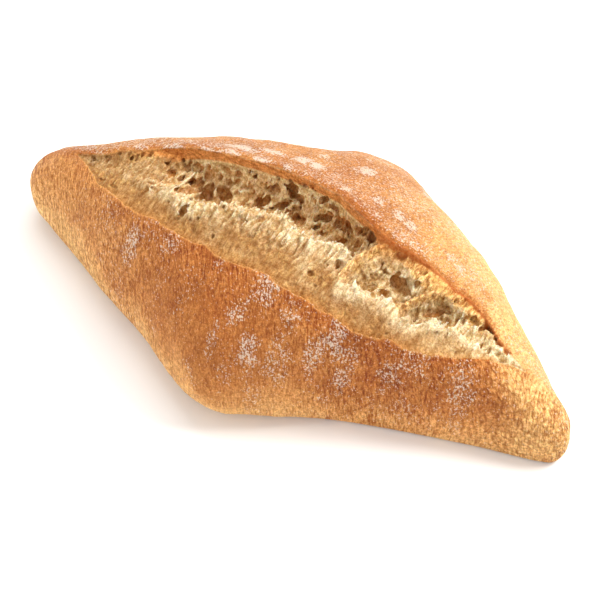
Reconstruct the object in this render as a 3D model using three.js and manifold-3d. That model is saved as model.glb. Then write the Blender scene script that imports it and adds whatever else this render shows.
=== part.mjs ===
// Diamond-shaped rustic white bread roll, baked on its flat underside, with one long slash along
// the long diagonal that has torn open to the crumb.
// Millimetres, +Z up, +X along the long diagonal, the raised back lip of the slash on the +Y side.
// The widest level of the loaf is a rounded rhombus. From it the crust domes up to the top and
// rounds in below to a flat base. The slash is cut out of the dome: a thin front lip, a strip of
// smooth crumb, a torn ridge, a deep cleft and a raised back lip that hangs over it.
import * as THREE from "three";
import { mergeVertices } from "three/addons/utils/BufferGeometryUtils.js";
import Module from "manifold-3d";

const wasm = await Module();
wasm.setup();
const PI = Math.PI;

// ---- outline at the widest level: four round corners, right, back, left, front ----
const RIGHT_REACH = 81.7;
const BACK_REACH = 51.0;
const LEFT_REACH = 88.3;
const FRONT_REACH = 42.9;
const RIGHT_R = 6.1;
const BACK_R = 26.0;
const LEFT_R = 9.0;
const FRONT_R = 15.5;
const BACK_X = -1.3;
const FRONT_X = -5.8;
// how far each side bows out (negative: hollow) and how much it waves, from the right corner round
const SIDE_BOW = [2.2, -2.5, -1.3, -6.2];
const SIDE_WAVE = [0.2, -2.0, 0.0, 0.5];
// the right tip swells a little on its front side
const NUB = 3.5;
const NUB_AT_DEG = -4.0;
const NUB_WIDE_DEG = 3.6;

// ---- dome and base ----
const HEIGHT = 44.5;
const WIDEST_Z = 12.2;
const WIDEST_Z_LEFT = 12.1;
const WIDEST_Z_RIGHT = 8.9;
const LEFT_TIP_SHARE = 0.725; // dome height at the tip, as a share of the middle's
const RIGHT_TIP_SHARE = 0.545;
const TIP_FALL = 2.36;
const DOME_M = 2.21;
const DOME_P = 0.53;
const BACK_LEAN = -0.147; // the dome falls a little towards the back
const ROUND_BLEND = 2.5; // the dome is an ellipse in plan near its top and the rhombus at its edge
const ELLIPSE_SHARE = 0.94;
const BASE_INSET = 9.3; // the base is this much smaller than the widest level, less so at the tips
const BASE_INSET_LEFT = 8.3;
const BASE_INSET_RIGHT = 2.2;

// ---- slash ----
const SLASH_LEFT = -74;
const SLASH_RIGHT = 67.5;
// front and back lips: [x, y], left end to right end
const FRONT_LIP = [[-74, 1.0], [-66, -4.5], [-54.5, -10.7], [-41.5, -15], [-28, -17.8], [-14, -19.6], [5, -19.9], [20, -20], [34, -17], [47.5, -11.2], [59.5, -3.4], [67.5, 2.4]];
const BACK_LIP = [[-74, 1.6], [-66, 2.6], [-57, 5.8], [-50, 8.2], [-40, 9.6], [-26, 10.4], [-12, 11.6], [2, 12], [9, 9.6], [20, 7.2], [30, 7.6], [40, 8.5], [50, 7.2], [60, 4.2], [67.5, 3.0]];
const EAR = 3.6; // how far the back lip stands above the dome
const EAR_FROM = -58;
const EAR_FULL = -28;
const EAR_FADE = 6;
const EAR_GONE = 48;
const EAR_WIDE = 10;
const CLEFT_FROM = -52;
const CLEFT_FULL = -32;
const SWITCH_FROM = 6; // here the cleft moves from the back lip to the middle of the slash
const SWITCH_TO = 24;
const END_TAPER = 11;
// where the torn ridge runs, as a share of the way from the front lip to the back lip: [x, share]
const RIDGE = [[-74, 0.5], [-58, 0.42], [-44, 0.34], [-34, 0.33], [-27, 0.34], [-20, 0.44], [-12, 0.55], [-6, 0.58], [0, 0.5], [6, 0.52], [11, 0.64], [15.5, 0.62], [19.5, 0.4], [24, 0.4], [31, 0.4], [36, 0.34], [42, 0.38], [48, 0.47], [56, 0.42], [67.5, 0.5]];
// cross-sections of the slash, [way across with the ridge at 0.5, depth below the dome]
const SECTION_SHALLOW = [[0, 1.4], [0.1, 1.8], [0.25, 2.2], [0.42, 2.4], [0.5, 2.3], [0.58, 2.5], [0.66, 2.9], [0.77, 3.2], [0.9, 2.8], [0.97, 2.0], [1.0, 1.0]];
const SECTION_BACK = [[0, 1.4], [0.1, 1.8], [0.25, 1.9], [0.42, 1.2], [0.5, 0.5], [0.58, 3.0], [0.66, 8.0], [0.77, 9.8], [0.9, 8.0], [1.03, 4.0], [1.02, 0.6]];
const SECTION_MIDDLE = [[0, 1.4], [0.1, 1.6], [0.25, 1.4], [0.42, 0.8], [0.5, 1.0], [0.56, 5.0], [0.63, 6.8], [0.73, 5.4], [0.85, 3.0], [0.94, 1.5], [1.0, 0.8]];

// largest cavities of the torn crumb: [x, y, z, half sizes along X, Y and Z]
const CAVITIES = [
  [-38.0, 5.5, 31.0, 2.7, 1.9, 1.9],
  [-32.9, 4.2, 30.4, 2.6, 3.3, 3.3],
  [-29.2, 5.4, 31.5, 2.2, 2.5, 2.5],
  [-17.5, 7.8, 32.9, 2.2, 2.7, 2.7],
  [-12.2, 9.4, 33.7, 2.2, 2.2, 2.2],
  [-10.9, 12.5, 37.6, 2.2, 3.7, 3.7],
  [-6.7, 8.3, 32.9, 2.2, 2.5, 2.5],
  [0.5, 10.5, 35.0, 2.7, 2.4, 2.4],
  [6.9, 10.2, 36.1, 3.8, 3.3, 3.3],
  [17.3, 8.5, 40.0, 2.2, 3.9, 3.9],
  [18.2, -1.6, 35.4, 2.2, 2.0, 2.0],
  [38.5, 0.6, 30.9, 2.8, 2.4, 2.4],
];

// ---- sampling ----
const ROUND_STEPS = 124;
const DOME_RINGS = 14;
const BASE_RINGS = 5;
const SLASH_STATIONS = 50;
const SECTION_STEPS = 21;

const clamp = (v, a, b) => Math.min(b, Math.max(a, v));
const smooth = (a, b, v) => {
  const t = clamp((v - a) / (b - a), 0, 1);
  return t * t * (3 - 2 * t);
};

// monotone-parameter Catmull-Rom through a short table of [x, y]
function along(table, x) {
  const n = table.length;
  let i = 0;
  while (i < n - 2 && x > table[i + 1][0]) i++;
  const [x1, y1] = table[i];
  const [x2, y2] = table[i + 1];
  const slope = (a, b) => (table[b][1] - table[a][1]) / (table[b][0] - table[a][0]);
  const m1 = i > 0 ? slope(i - 1, i + 1) : slope(i, i + 1);
  const m2 = i < n - 2 ? slope(i, i + 2) : slope(i, i + 1);
  const h = x2 - x1;
  const t = clamp((x - x1) / h, 0, 1);
  const t2 = t * t;
  const t3 = t2 * t;
  return (2 * t3 - 3 * t2 + 1) * y1 + (t3 - 2 * t2 + t) * h * m1 + (3 * t2 - 2 * t3) * y2 + (t3 - t2) * h * m2;
}

// ---- outline in polar form ----
const corners = [
  [RIGHT_REACH - RIGHT_R, 0, RIGHT_R],
  [BACK_X, BACK_REACH - BACK_R, BACK_R],
  [-LEFT_REACH + LEFT_R, 0, LEFT_R],
  [FRONT_X, -FRONT_REACH + FRONT_R, FRONT_R],
];
const hull = [];
for (let i = 0; i < 2880; i++) {
  const a = (i / 2880) * 2 * PI;
  let best = null;
  let most = -Infinity;
  for (const [x, y, r] of corners) {
    const h = x * Math.cos(a) + y * Math.sin(a) + r;
    if (h > most) {
      most = h;
      best = [x + r * Math.cos(a), y + r * Math.sin(a)];
    }
  }
  hull.push([Math.atan2(best[1], best[0]), best[0], best[1]]);
}
hull.sort((p, q) => p[0] - q[0]);

function hullRadius(phi) {
  const a = Math.atan2(Math.sin(phi), Math.cos(phi));
  let lo = 0;
  let hi = hull.length;
  while (lo < hi) {
    const mid = (lo + hi) >> 1;
    if (hull[mid][0] < a) lo = mid + 1;
    else hi = mid;
  }
  const p = hull[(lo - 1 + hull.length) % hull.length];
  const q = hull[lo % hull.length];
  const dx = Math.cos(a);
  const dy = Math.sin(a);
  const ex = q[1] - p[1];
  const ey = q[2] - p[2];
  const det = dx * ey - dy * ex;
  if (Math.abs(det) < 1e-12) return Math.hypot(p[1], p[2]);
  const t = clamp((p[1] * dy - p[2] * dx) / -det, -1, 1);
  const u = clamp(Math.abs(t), 0, 1);
  return Math.hypot(p[1] + u * ex, p[2] + u * ey);
}

function outlineRadius(phi) {
  let r = hullRadius(phi);
  const px = r * Math.cos(phi);
  const py = r * Math.sin(phi);
  const turn = (v) => ((v % (2 * PI)) + 2 * PI) % (2 * PI);
  for (let s = 0; s < 4; s++) {
    const [x0, y0] = corners[s];
    const [x1, y1] = corners[(s + 1) % 4];
    const from = Math.atan2(y0, x0);
    const span = turn(Math.atan2(y1, x1) - from);
    if (turn(phi - from) >= span) continue;
    const ex = x1 - x0;
    const ey = y1 - y0;
    const f = clamp(((px - x0) * ex + (py - y0) * ey) / (ex * ex + ey * ey), 0, 1);
    r += SIDE_BOW[s] * Math.sin(PI * f) ** 2 + SIDE_WAVE[s] * Math.sin(2 * PI * f) * Math.sin(PI * f);
  }
  const deg = (Math.atan2(Math.sin(phi), Math.cos(phi)) * 180) / PI;
  return r + NUB * Math.exp(-(((deg - NUB_AT_DEG) / NUB_WIDE_DEG) ** 2));
}

const reach = [0, 1, 2, 3].map((i) => outlineRadius((i * PI) / 2));
function ellipseRadius(phi) {
  const a = Math.cos(phi) > 0 ? reach[0] : reach[2];
  const b = Math.sin(phi) > 0 ? reach[1] : reach[3];
  return 1 / Math.hypot(Math.cos(phi) / a, Math.sin(phi) / b);
}
const ringRadius = (phi, s) => {
  const w = s ** ROUND_BLEND;
  return s * ((1 - w) * ellipseRadius(phi) * ELLIPSE_SHARE + w * outlineRadius(phi));
};

// ring where the flat base ends, in the direction phi
function baseRing(phi) {
  const r = outlineRadius(phi);
  const c = Math.cos(phi);
  const x = r * c;
  const t = Math.min(1, x > 0 ? x / reach[0] : -x / reach[2]);
  const inset = BASE_INSET + ((x > 0 ? BASE_INSET_RIGHT : BASE_INSET_LEFT) - BASE_INSET) * t * t;
  return 1 - inset / r;
}

// height of the widest level, of the dome and of the underside over a plan point on ring s
function levels(x, y, s, phi) {
  const right = x > 0;
  const t = Math.min(1, right ? x / reach[0] : -x / reach[2]);
  const share = 1 - (1 - (right ? RIGHT_TIP_SHARE : LEFT_TIP_SHARE)) * t ** TIP_FALL;
  const wide = WIDEST_Z + ((right ? WIDEST_Z_RIGHT : WIDEST_Z_LEFT) - WIDEST_Z) * t * t;
  const top = wide + (HEIGHT - WIDEST_Z) * share * (1 + (BACK_LEAN * y) / reach[1]) * Math.max(0, 1 - s ** DOME_M) ** DOME_P;
  const s0 = baseRing(phi);
  const q = clamp((s - s0) / (1 - s0), 0, 1);
  const bottom = wide * (1 - Math.sqrt(Math.max(0, 1 - q * q)));
  return { top, bottom, wide };
}

function earAt(x) {
  return EAR * smooth(EAR_FROM, EAR_FULL, x) * (1 - smooth(EAR_FADE, EAR_GONE, x));
}
// the crust behind the back lip is lifted towards the lip
function lift(x, y) {
  if (x < SLASH_LEFT - 4 || x > SLASH_RIGHT + 4) return 0;
  const d = y - along(BACK_LIP, clamp(x, SLASH_LEFT, SLASH_RIGHT));
  return earAt(x) * (d > 0 ? Math.exp(-((d / EAR_WIDE) ** 1.4)) : Math.exp(-((d / 5) ** 2)));
}

// dome height over any plan point, without the lifted lip
function domeHeight(x, y) {
  const rho = Math.hypot(x, y);
  const phi = Math.atan2(y, x);
  let lo = 0;
  let hi = 1;
  for (let i = 0; i < 40; i++) {
    const mid = (lo + hi) / 2;
    if (ringRadius(phi, mid) < rho) lo = mid;
    else hi = mid;
  }
  return levels(x, y, hi, phi).top;
}

// ---- mesh helpers ----
function solid(geometry) {
  const bare = geometry.clone();
  bare.deleteAttribute("normal");
  bare.deleteAttribute("uv");
  const merged = mergeVertices(bare, 1e-4);
  return new wasm.Manifold(
    new wasm.Mesh({
      numProp: 3,
      vertProperties: new Float32Array(merged.attributes.position.array),
      triVerts: new Uint32Array(merged.index.array),
    }),
  );
}
function fromArrays(points, faces) {
  const g = new THREE.BufferGeometry();
  g.setAttribute("position", new THREE.Float32BufferAttribute(points.flat(), 3));
  g.setIndex(faces.flat());
  return g;
}

// ---- uncut loaf: rings round the middle, closed at the top and by the flat base ----
// round steps are spread by arc length and by how sharply the outline turns
function roundAngles(count) {
  const fine = 3600;
  const cost = [0];
  const at = (i) => {
    const a = (i / fine) * 2 * PI;
    const r = outlineRadius(a);
    return [r * Math.cos(a), r * Math.sin(a)];
  };
  let total = 0;
  for (let i = 0; i < fine; i++) {
    const [ax, ay] = at(i - 6);
    const [bx, by] = at(i);
    const [cx, cy] = at(i + 6);
    const turn = Math.abs(Math.atan2((bx - ax) * (cy - by) - (by - ay) * (cx - bx), (bx - ax) * (cx - bx) + (by - ay) * (cy - by)));
    const [dx, dy] = at(i + 1);
    total += Math.hypot(dx - bx, dy - by) + (turn / 6) * 7;
    cost.push(total);
  }
  const angles = [];
  let j = 0;
  for (let k = 0; k < count; k++) {
    const want = (k / count) * total;
    while (cost[j + 1] < want) j++;
    angles.push(((j + (want - cost[j]) / (cost[j + 1] - cost[j])) / fine) * 2 * PI);
  }
  return angles;
}

const angles = roundAngles(ROUND_STEPS);
const points = [];
const faces = [];
const rings = [];
for (let i = 1; i <= DOME_RINGS; i++) rings.push({ s: Math.sin((i / DOME_RINGS) * (PI / 2)), dome: true });
for (let i = 1; i <= BASE_RINGS; i++) rings.push({ q: Math.cos((i / BASE_RINGS) * (PI / 2)), dome: false });
points.push([0, 0, levels(0, 0, 0, 0).top + lift(0, 0)]);
for (const ring of rings) {
  for (const phi of angles) {
    const s0 = baseRing(phi);
    const s = ring.dome ? ring.s : s0 + (1 - s0) * ring.q;
    const rho = ringRadius(phi, s);
    const x = rho * Math.cos(phi);
    const y = rho * Math.sin(phi);
    const h = levels(x, y, s, phi);
    points.push([x, y, ring.dome ? h.top + lift(x, y) * (1 - s ** 6) : h.bottom]);
  }
}
points.push([0, 0, 0]);
const ringStart = (k) => 1 + k * ROUND_STEPS;
for (let j = 0; j < ROUND_STEPS; j++) {
  const jn = (j + 1) % ROUND_STEPS;
  faces.push([0, ringStart(0) + j, ringStart(0) + jn]);
  for (let k = 0; k < rings.length - 1; k++) {
    const a = ringStart(k) + j;
    const b = ringStart(k) + jn;
    const c = ringStart(k + 1) + j;
    const d = ringStart(k + 1) + jn;
    faces.push([a, c, d], [a, d, b]);
  }
  const last = ringStart(rings.length - 1);
  faces.push([points.length - 1, last + jn, last + j]);
}
let loaf = solid(fromArrays(points, faces));

// ---- slash: cross-sections lofted from the left end to the right end ----
const SECTION_COUNT = SECTION_BACK.length;
function sectionAt(x) {
  const cleft = smooth(CLEFT_FROM, CLEFT_FULL, x);
  const middle = smooth(SWITCH_FROM, SWITCH_TO, x);
  const end = Math.min(smooth(SLASH_LEFT - 2, SLASH_LEFT + END_TAPER, x), 1 - smooth(SLASH_RIGHT - END_TAPER * 1.6, SLASH_RIGHT + 2, x));
  const out = [];
  for (let i = 0; i < SECTION_COUNT; i++) {
    const mixed = [0, 1].map((k) => {
      const shallow = SECTION_SHALLOW[i][k] * (1 - cleft) + SECTION_BACK[i][k] * cleft;
      return shallow * (1 - middle) + SECTION_MIDDLE[i][k] * middle;
    });
    const ridge = along(RIDGE, x);
    const across = mixed[0] < 0.5 ? mixed[0] * 2 * ridge : ridge + (mixed[0] - 0.5) * 2 * (1 - ridge);
    out.push([across, mixed[1] * (0.35 + 0.65 * end)]);
  }
  return out;
}
function slashSection(x) {
  const yf = along(FRONT_LIP, x);
  const yb = Math.max(along(BACK_LIP, x), yf + 0.8);
  const rows = sectionAt(x);
  const ts = rows.map((r, i) => [i, r[0]]);
  const ds = rows.map((r, i) => [i, r[1]]);
  const loop = [];
  for (let i = 0; i <= SECTION_STEPS; i++) {
    const u = (i / SECTION_STEPS) * (SECTION_COUNT - 1);
    const y = yf + along(ts, u) * (yb - yf);
    loop.push([x, y, domeHeight(x, y) - along(ds, u)]);
  }
  const top = HEIGHT + 16;
  const lipZ = domeHeight(x, yb) + earAt(x);
  loop.push([x, yb, lipZ - 0.2]);
  loop.push([x, yb - 0.6, top]);
  loop.push([x, yf + 0.02, top]);
  return loop;
}
const slashPoints = [];
const slashFaces = [];
const loopSize = SECTION_STEPS + 4;
for (let k = 0; k < SLASH_STATIONS; k++) {
  const x = SLASH_LEFT + (SLASH_RIGHT - SLASH_LEFT) * (k / (SLASH_STATIONS - 1));
  slashPoints.push(...slashSection(x));
}
for (let k = 0; k < SLASH_STATIONS - 1; k++) {
  for (let j = 0; j < loopSize; j++) {
    const jn = (j + 1) % loopSize;
    const a = k * loopSize + j;
    const b = k * loopSize + jn;
    const c = (k + 1) * loopSize + j;
    const d = (k + 1) * loopSize + jn;
    slashFaces.push([a, d, c], [a, b, d]);
  }
}
for (const end of [0, 1]) {
  const first = end ? (SLASH_STATIONS - 1) * loopSize : 0;
  const ring = slashPoints.slice(first, first + loopSize).map(([, y, z]) => new THREE.Vector2(y, z));
  for (const [a, b, c] of THREE.ShapeUtils.triangulateShape(ring, [])) {
    slashFaces.push(end ? [first + a, first + b, first + c] : [first + a, first + c, first + b]);
  }
}
loaf = loaf.subtract(solid(fromArrays(slashPoints, slashFaces)));

// ---- largest cavities of the crumb ----
for (const [x, y, z, rx, ry, rz] of CAVITIES) {
  const g = new THREE.IcosahedronGeometry(1, 2);
  g.scale(rx, ry, rz);
  g.translate(x, y, z);
  loaf = loaf.subtract(solid(g));
}

// ---- frame: the middle of the box in plan, and the base, at the origin ----
const cut = loaf.getMesh();
const geometry = new THREE.BufferGeometry();
const flat = new Float32Array((cut.vertProperties.length / cut.numProp) * 3);
for (let i = 0; i < flat.length / 3; i++) for (let k = 0; k < 3; k++) flat[i * 3 + k] = cut.vertProperties[i * cut.numProp + k];
geometry.setAttribute("position", new THREE.BufferAttribute(flat, 3));
geometry.setIndex(new THREE.BufferAttribute(new Uint32Array(cut.triVerts), 1));
geometry.computeBoundingBox();
const box = geometry.boundingBox;
geometry.translate(-(box.min.x + box.max.x) / 2, -(box.min.y + box.max.y) / 2, -box.min.z);

const crust = new THREE.MeshStandardMaterial({ name: "crust", color: new THREE.Color(0.79, 0.49, 0.25), roughness: 0.78, metalness: 0 });
const roll = new THREE.Mesh(geometry, crust);
roll.name = "bread_roll";

const group = new THREE.Group();
group.name = "diamond_bread_roll";
group.add(roll);
export default group;
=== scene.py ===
import math

import bpy
import numpy as np
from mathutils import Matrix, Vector


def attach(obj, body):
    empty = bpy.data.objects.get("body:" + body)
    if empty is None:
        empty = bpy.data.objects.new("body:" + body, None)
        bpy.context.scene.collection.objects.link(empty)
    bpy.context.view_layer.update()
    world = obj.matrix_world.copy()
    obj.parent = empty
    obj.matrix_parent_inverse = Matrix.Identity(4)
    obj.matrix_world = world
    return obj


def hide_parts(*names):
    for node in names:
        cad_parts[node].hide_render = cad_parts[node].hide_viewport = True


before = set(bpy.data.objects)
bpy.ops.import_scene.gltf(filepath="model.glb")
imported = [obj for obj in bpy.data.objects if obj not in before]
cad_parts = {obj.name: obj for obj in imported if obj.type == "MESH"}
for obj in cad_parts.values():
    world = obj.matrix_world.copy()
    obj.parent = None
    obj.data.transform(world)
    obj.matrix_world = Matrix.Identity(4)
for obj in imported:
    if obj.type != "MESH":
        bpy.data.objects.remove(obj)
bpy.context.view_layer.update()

# Diamond-shaped rustic white bread roll. Shape sizes in millimetres, in the loaf's own frame, whose
# origin is under the meeting point of its two diagonals. SHIFT takes it to the CAD frame.
PI = math.pi
RNG = np.random.default_rng(20417)

# ---------------------------------------------------------------- loaf sizes (as in the solid)
RIGHT_REACH, BACK_REACH, LEFT_REACH, FRONT_REACH = 81.7, 51.0, 88.3, 42.9
RIGHT_R, BACK_R, LEFT_R, FRONT_R = 6.1, 26.0, 9.0, 15.5
BACK_X, FRONT_X = -1.3, -5.8
SIDE_BOW = (2.2, -2.5, -1.3, -6.2)
SIDE_WAVE = (0.2, -2.0, 0.0, 0.5)
NUB, NUB_AT_DEG, NUB_WIDE_DEG = 3.5, -4.0, 3.6
HEIGHT, WIDEST_Z, WIDEST_Z_LEFT, WIDEST_Z_RIGHT = 44.5, 12.2, 12.1, 8.9
LEFT_TIP_SHARE, RIGHT_TIP_SHARE, TIP_FALL = 0.725, 0.545, 2.36
DOME_M, DOME_P, BACK_LEAN = 2.21, 0.53, -0.147
ROUND_BLEND, ELLIPSE_SHARE = 2.5, 0.94
BASE_INSET, BASE_INSET_LEFT, BASE_INSET_RIGHT = 9.3, 8.3, 2.2

SLASH_LEFT, SLASH_RIGHT = -74.0, 67.5
FRONT_LIP = [(-74, 1.0), (-66, -4.5), (-54.5, -10.7), (-41.5, -15), (-28, -17.8), (-14, -19.6), (5, -19.9), (20, -20), (34, -17), (47.5, -11.2), (59.5, -3.4), (67.5, 2.4)]
BACK_LIP = [(-74, 1.6), (-66, 2.6), (-57, 5.8), (-50, 8.2), (-40, 9.6), (-26, 10.4), (-12, 11.6), (2, 12), (9, 9.6), (20, 7.2), (30, 7.6), (40, 8.5), (50, 7.2), (60, 4.2), (67.5, 3.0)]
EAR, EAR_FROM, EAR_FULL, EAR_FADE, EAR_GONE, EAR_WIDE = 3.6, -58, -28, 6, 48, 10
CLEFT_FROM, CLEFT_FULL, SWITCH_FROM, SWITCH_TO, END_TAPER = -52, -32, 9, 20, 11
RIDGE = [(-74, 0.5), (-58, 0.42), (-44, 0.34), (-34, 0.33), (-27, 0.34), (-20, 0.44), (-12, 0.55), (-6, 0.58), (0, 0.50), (6, 0.52), (11, 0.66), (15.5, 0.62), (19, 0.31), (21.5, 0.34), (26, 0.41), (31, 0.42), (36.5, 0.27), (42, 0.38), (48, 0.47), (56, 0.42), (67.5, 0.5)]
SECTION_SHALLOW = [(0, 1.3), (0.1, 1.8), (0.25, 2.2), (0.42, 2.4), (0.5, 2.3), (0.58, 2.5), (0.66, 2.8), (0.77, 2.6), (0.9, 1.8), (0.97, 1.1), (1.0, 0.6)]
SECTION_BACK = [(0, 1.3), (0.1, 1.8), (0.25, 1.9), (0.42, 1.2), (0.5, 0.5), (0.58, 3.0), (0.66, 8.0), (0.77, 9.8), (0.88, 8.6), (0.96, 5.6), (1.0, 2.2)]
SECTION_MIDDLE = [(0, 1.3), (0.1, 1.6), (0.25, 1.4), (0.42, 0.8), (0.5, 1.0)]
# behind the ridge on the right: a hollow, then a golden band along the back lip. BAND: where the band begins, across the slash
BAND = [(8, 0.98), (18, 0.97), (24, 0.94), (29, 0.89), (33, 0.80), (37, 0.80), (42, 0.86), (50, 0.80), (60, 0.75)]
HOLLOW = [(0, 1.0), (0.06, 4.6), (0.18, 7.6), (0.42, 7.0), (0.68, 5.4), (0.88, 3.4), (1.0, 1.3)]
BAND_TOP = [(0, 1.3), (0.4, 0.9), (0.9, 0.7), (1.0, 0.9)]
HOLLOW_FADES, HOLLOW_GONE, HOLLOW_LEFT = 43, 52, 0.45  # the hollow grows shallow towards the right end

VOX = 0.42          # spacing of the sampling grid
CRUST_TRIS = 62000  # the smooth crust is thinned to about this many triangles
MOST_TRIS = 196000


def smooth(a, b, v):
    t = np.clip((v - a) / (b - a), 0, 1)
    return t * t * (3 - 2 * t)


def along(table, x):
    tb = np.asarray(table, float)
    X, Y = tb[:, 0], tb[:, 1]
    n = len(X)
    x = np.asarray(x, float)
    i = np.clip(np.searchsorted(X, x, side="left") - 1, 0, n - 2)
    m = np.empty(n)
    m[1:-1] = (Y[2:] - Y[:-2]) / (X[2:] - X[:-2])
    m[0] = (Y[1] - Y[0]) / (X[1] - X[0])
    m[-1] = (Y[-1] - Y[-2]) / (X[-1] - X[-2])
    h = X[i + 1] - X[i]
    t = np.clip((x - X[i]) / h, 0, 1)
    t2, t3 = t * t, t * t * t
    return (2 * t3 - 3 * t2 + 1) * Y[i] + (t3 - 2 * t2 + t) * h * m[i] + (3 * t2 - 2 * t3) * Y[i + 1] + (t3 - t2) * h * m[i + 1]


# ---------------------------------------------------------------- outline and dome
CORNERS = np.array([(RIGHT_REACH - RIGHT_R, 0, RIGHT_R), (BACK_X, BACK_REACH - BACK_R, BACK_R), (-LEFT_REACH + LEFT_R, 0, LEFT_R), (FRONT_X, -FRONT_REACH + FRONT_R, FRONT_R)])


def outline_table():
    th = np.arange(2880) / 2880 * 2 * PI
    d = np.stack([np.cos(th), np.sin(th)], 1)
    k = (d @ CORNERS[:, :2].T + CORNERS[:, 2]).argmax(1)
    pts = CORNERS[k, :2] + d * CORNERS[k, 2][:, None]
    ang = np.arctan2(pts[:, 1], pts[:, 0])
    o = np.argsort(ang, kind="stable")
    ang, pts = ang[o], pts[o]
    phi = (np.arange(7200) + 0.5) / 7200 * 2 * PI - PI
    idx = np.searchsorted(ang, phi) % len(ang)
    a, b = pts[idx - 1], pts[idx]
    dx, dy = np.cos(phi), np.sin(phi)
    e = b - a
    det = dx * e[:, 1] - dy * e[:, 0]
    det = np.where(abs(det) < 1e-12, 1e-12, det)
    t = np.clip(abs((a[:, 0] * dy - a[:, 1] * dx) / det), 0, 1)
    q = a + t[:, None] * e
    R = np.hypot(q[:, 0], q[:, 1])
    px, py = R * np.cos(phi), R * np.sin(phi)
    add = np.zeros_like(R)
    for s in range(4):
        x0, y0 = CORNERS[s, :2]
        x1, y1 = CORNERS[(s + 1) % 4, :2]
        fr = math.atan2(y0, x0)
        span = (math.atan2(y1, x1) - fr) % (2 * PI)
        ins = ((phi - fr) % (2 * PI)) < span
        ex, ey = x1 - x0, y1 - y0
        f = np.clip(((px - x0) * ex + (py - y0) * ey) / (ex * ex + ey * ey), 0, 1)
        add += ins * (SIDE_BOW[s] * np.sin(PI * f) ** 2 + SIDE_WAVE[s] * np.sin(2 * PI * f) * np.sin(PI * f))
    return phi, R + add + NUB * np.exp(-(((np.degrees(phi) - NUB_AT_DEG) / NUB_WIDE_DEG) ** 2))


PHI_T, R_T = outline_table()


def outline_r(phi):
    return np.interp((phi + PI) % (2 * PI) - PI, PHI_T, R_T, period=2 * PI)


REACH = [float(outline_r(np.array(i * PI / 2))) for i in range(4)]
# plan shift to the CAD frame: the middle of the outline's box goes to the origin
SHIFT_X = -float((R_T * np.cos(PHI_T)).max() + (R_T * np.cos(PHI_T)).min()) / 2
SHIFT_Y = -float((R_T * np.sin(PHI_T)).max() + (R_T * np.sin(PHI_T)).min()) / 2


def ring_of(x, y):
    """ring share s of plan points, with the outline radius and the angle"""
    rho, phi = np.hypot(x, y), np.arctan2(y, x)
    ro = outline_r(phi)
    a = np.where(np.cos(phi) > 0, REACH[0], REACH[2])
    b = np.where(np.sin(phi) > 0, REACH[1], REACH[3])
    re = ELLIPSE_SHARE / np.hypot(np.cos(phi) / a, np.sin(phi) / b)
    lo, hi = np.zeros_like(rho), np.full_like(rho, 1.4)
    for _ in range(20):
        m = (lo + hi) / 2
        w = np.minimum(m, 1) ** ROUND_BLEND
        big = m * ((1 - w) * re + w * ro) < rho
        lo, hi = np.where(big, m, lo), np.where(big, hi, m)
    return (lo + hi) / 2, ro, phi


def plan_terms(x, y):
    right = x > 0
    t = np.minimum(1, np.where(right, x / REACH[0], -x / REACH[2]))
    share = 1 - (1 - np.where(right, RIGHT_TIP_SHARE, LEFT_TIP_SHARE)) * t**TIP_FALL
    wide = WIDEST_Z + (np.where(right, WIDEST_Z_RIGHT, WIDEST_Z_LEFT) - WIDEST_Z) * t * t
    amp = (HEIGHT - WIDEST_Z) * share * (1 + BACK_LEAN * y / REACH[1])
    return wide, amp


def dome(x, y):
    x, y = np.asarray(x, float), np.asarray(y, float)
    s, _, _ = ring_of(x, y)
    wide, amp = plan_terms(x, y)
    return wide + amp * np.maximum(0, 1 - np.minimum(s, 1) ** DOME_M) ** DOME_P


def ear(x):
    return EAR * smooth(EAR_FROM, EAR_FULL, x) * (1 - smooth(EAR_FADE, EAR_GONE, x))


def lift(x, y):
    d = y - along(BACK_LIP, np.clip(x, SLASH_LEFT, SLASH_RIGHT))
    e = ear(x) * ((x > SLASH_LEFT - 4) & (x < SLASH_RIGHT + 4))
    return e * np.where(d > 0, np.exp(-(np.abs(d) / EAR_WIDE) ** 1.4), np.exp(-((d / 5) ** 2)))


# ---------------------------------------------------------------- lattice noise, -1 to 1
LATTICES = {}


def lattice(seed):
    if seed not in LATTICES:
        LATTICES[seed] = np.random.default_rng(seed).uniform(-1, 1, (64, 64, 64)).astype(np.float32)
    return LATTICES[seed]


def noise(px, py, pz, seed):
    t = lattice(seed)
    out = np.zeros(px.shape, np.float32)
    ix, iy, iz = np.floor(px), np.floor(py), np.floor(pz)
    fx, fy, fz = px - ix, py - iy, pz - iz
    fx, fy, fz = fx * fx * (3 - 2 * fx), fy * fy * (3 - 2 * fy), fz * fz * (3 - 2 * fz)
    ix, iy, iz = ix.astype(np.int64) & 63, iy.astype(np.int64) & 63, iz.astype(np.int64) & 63
    jx, jy, jz = (ix + 1) & 63, (iy + 1) & 63, (iz + 1) & 63
    for a, wa in ((ix, 1 - fx), (jx, fx)):
        for b, wb in ((iy, 1 - fy), (jy, fy)):
            for c, wc in ((iz, 1 - fz), (jz, fz)):
                out += wa * wb * wc * t[a, b, c]
    return out * 1.25


def fbm(px, py, pz, seed, octaves=3, gain=0.5):
    total, amp, norm = 0, 1.0, 0.0
    for k in range(octaves):
        total = total + amp * noise(px * 2.03**k + 7.1 * k, py * 2.03**k + 3.3 * k, pz * 2.03**k + 1.7 * k, seed + k)
        norm += amp
        amp *= gain
    return total / norm


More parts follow.
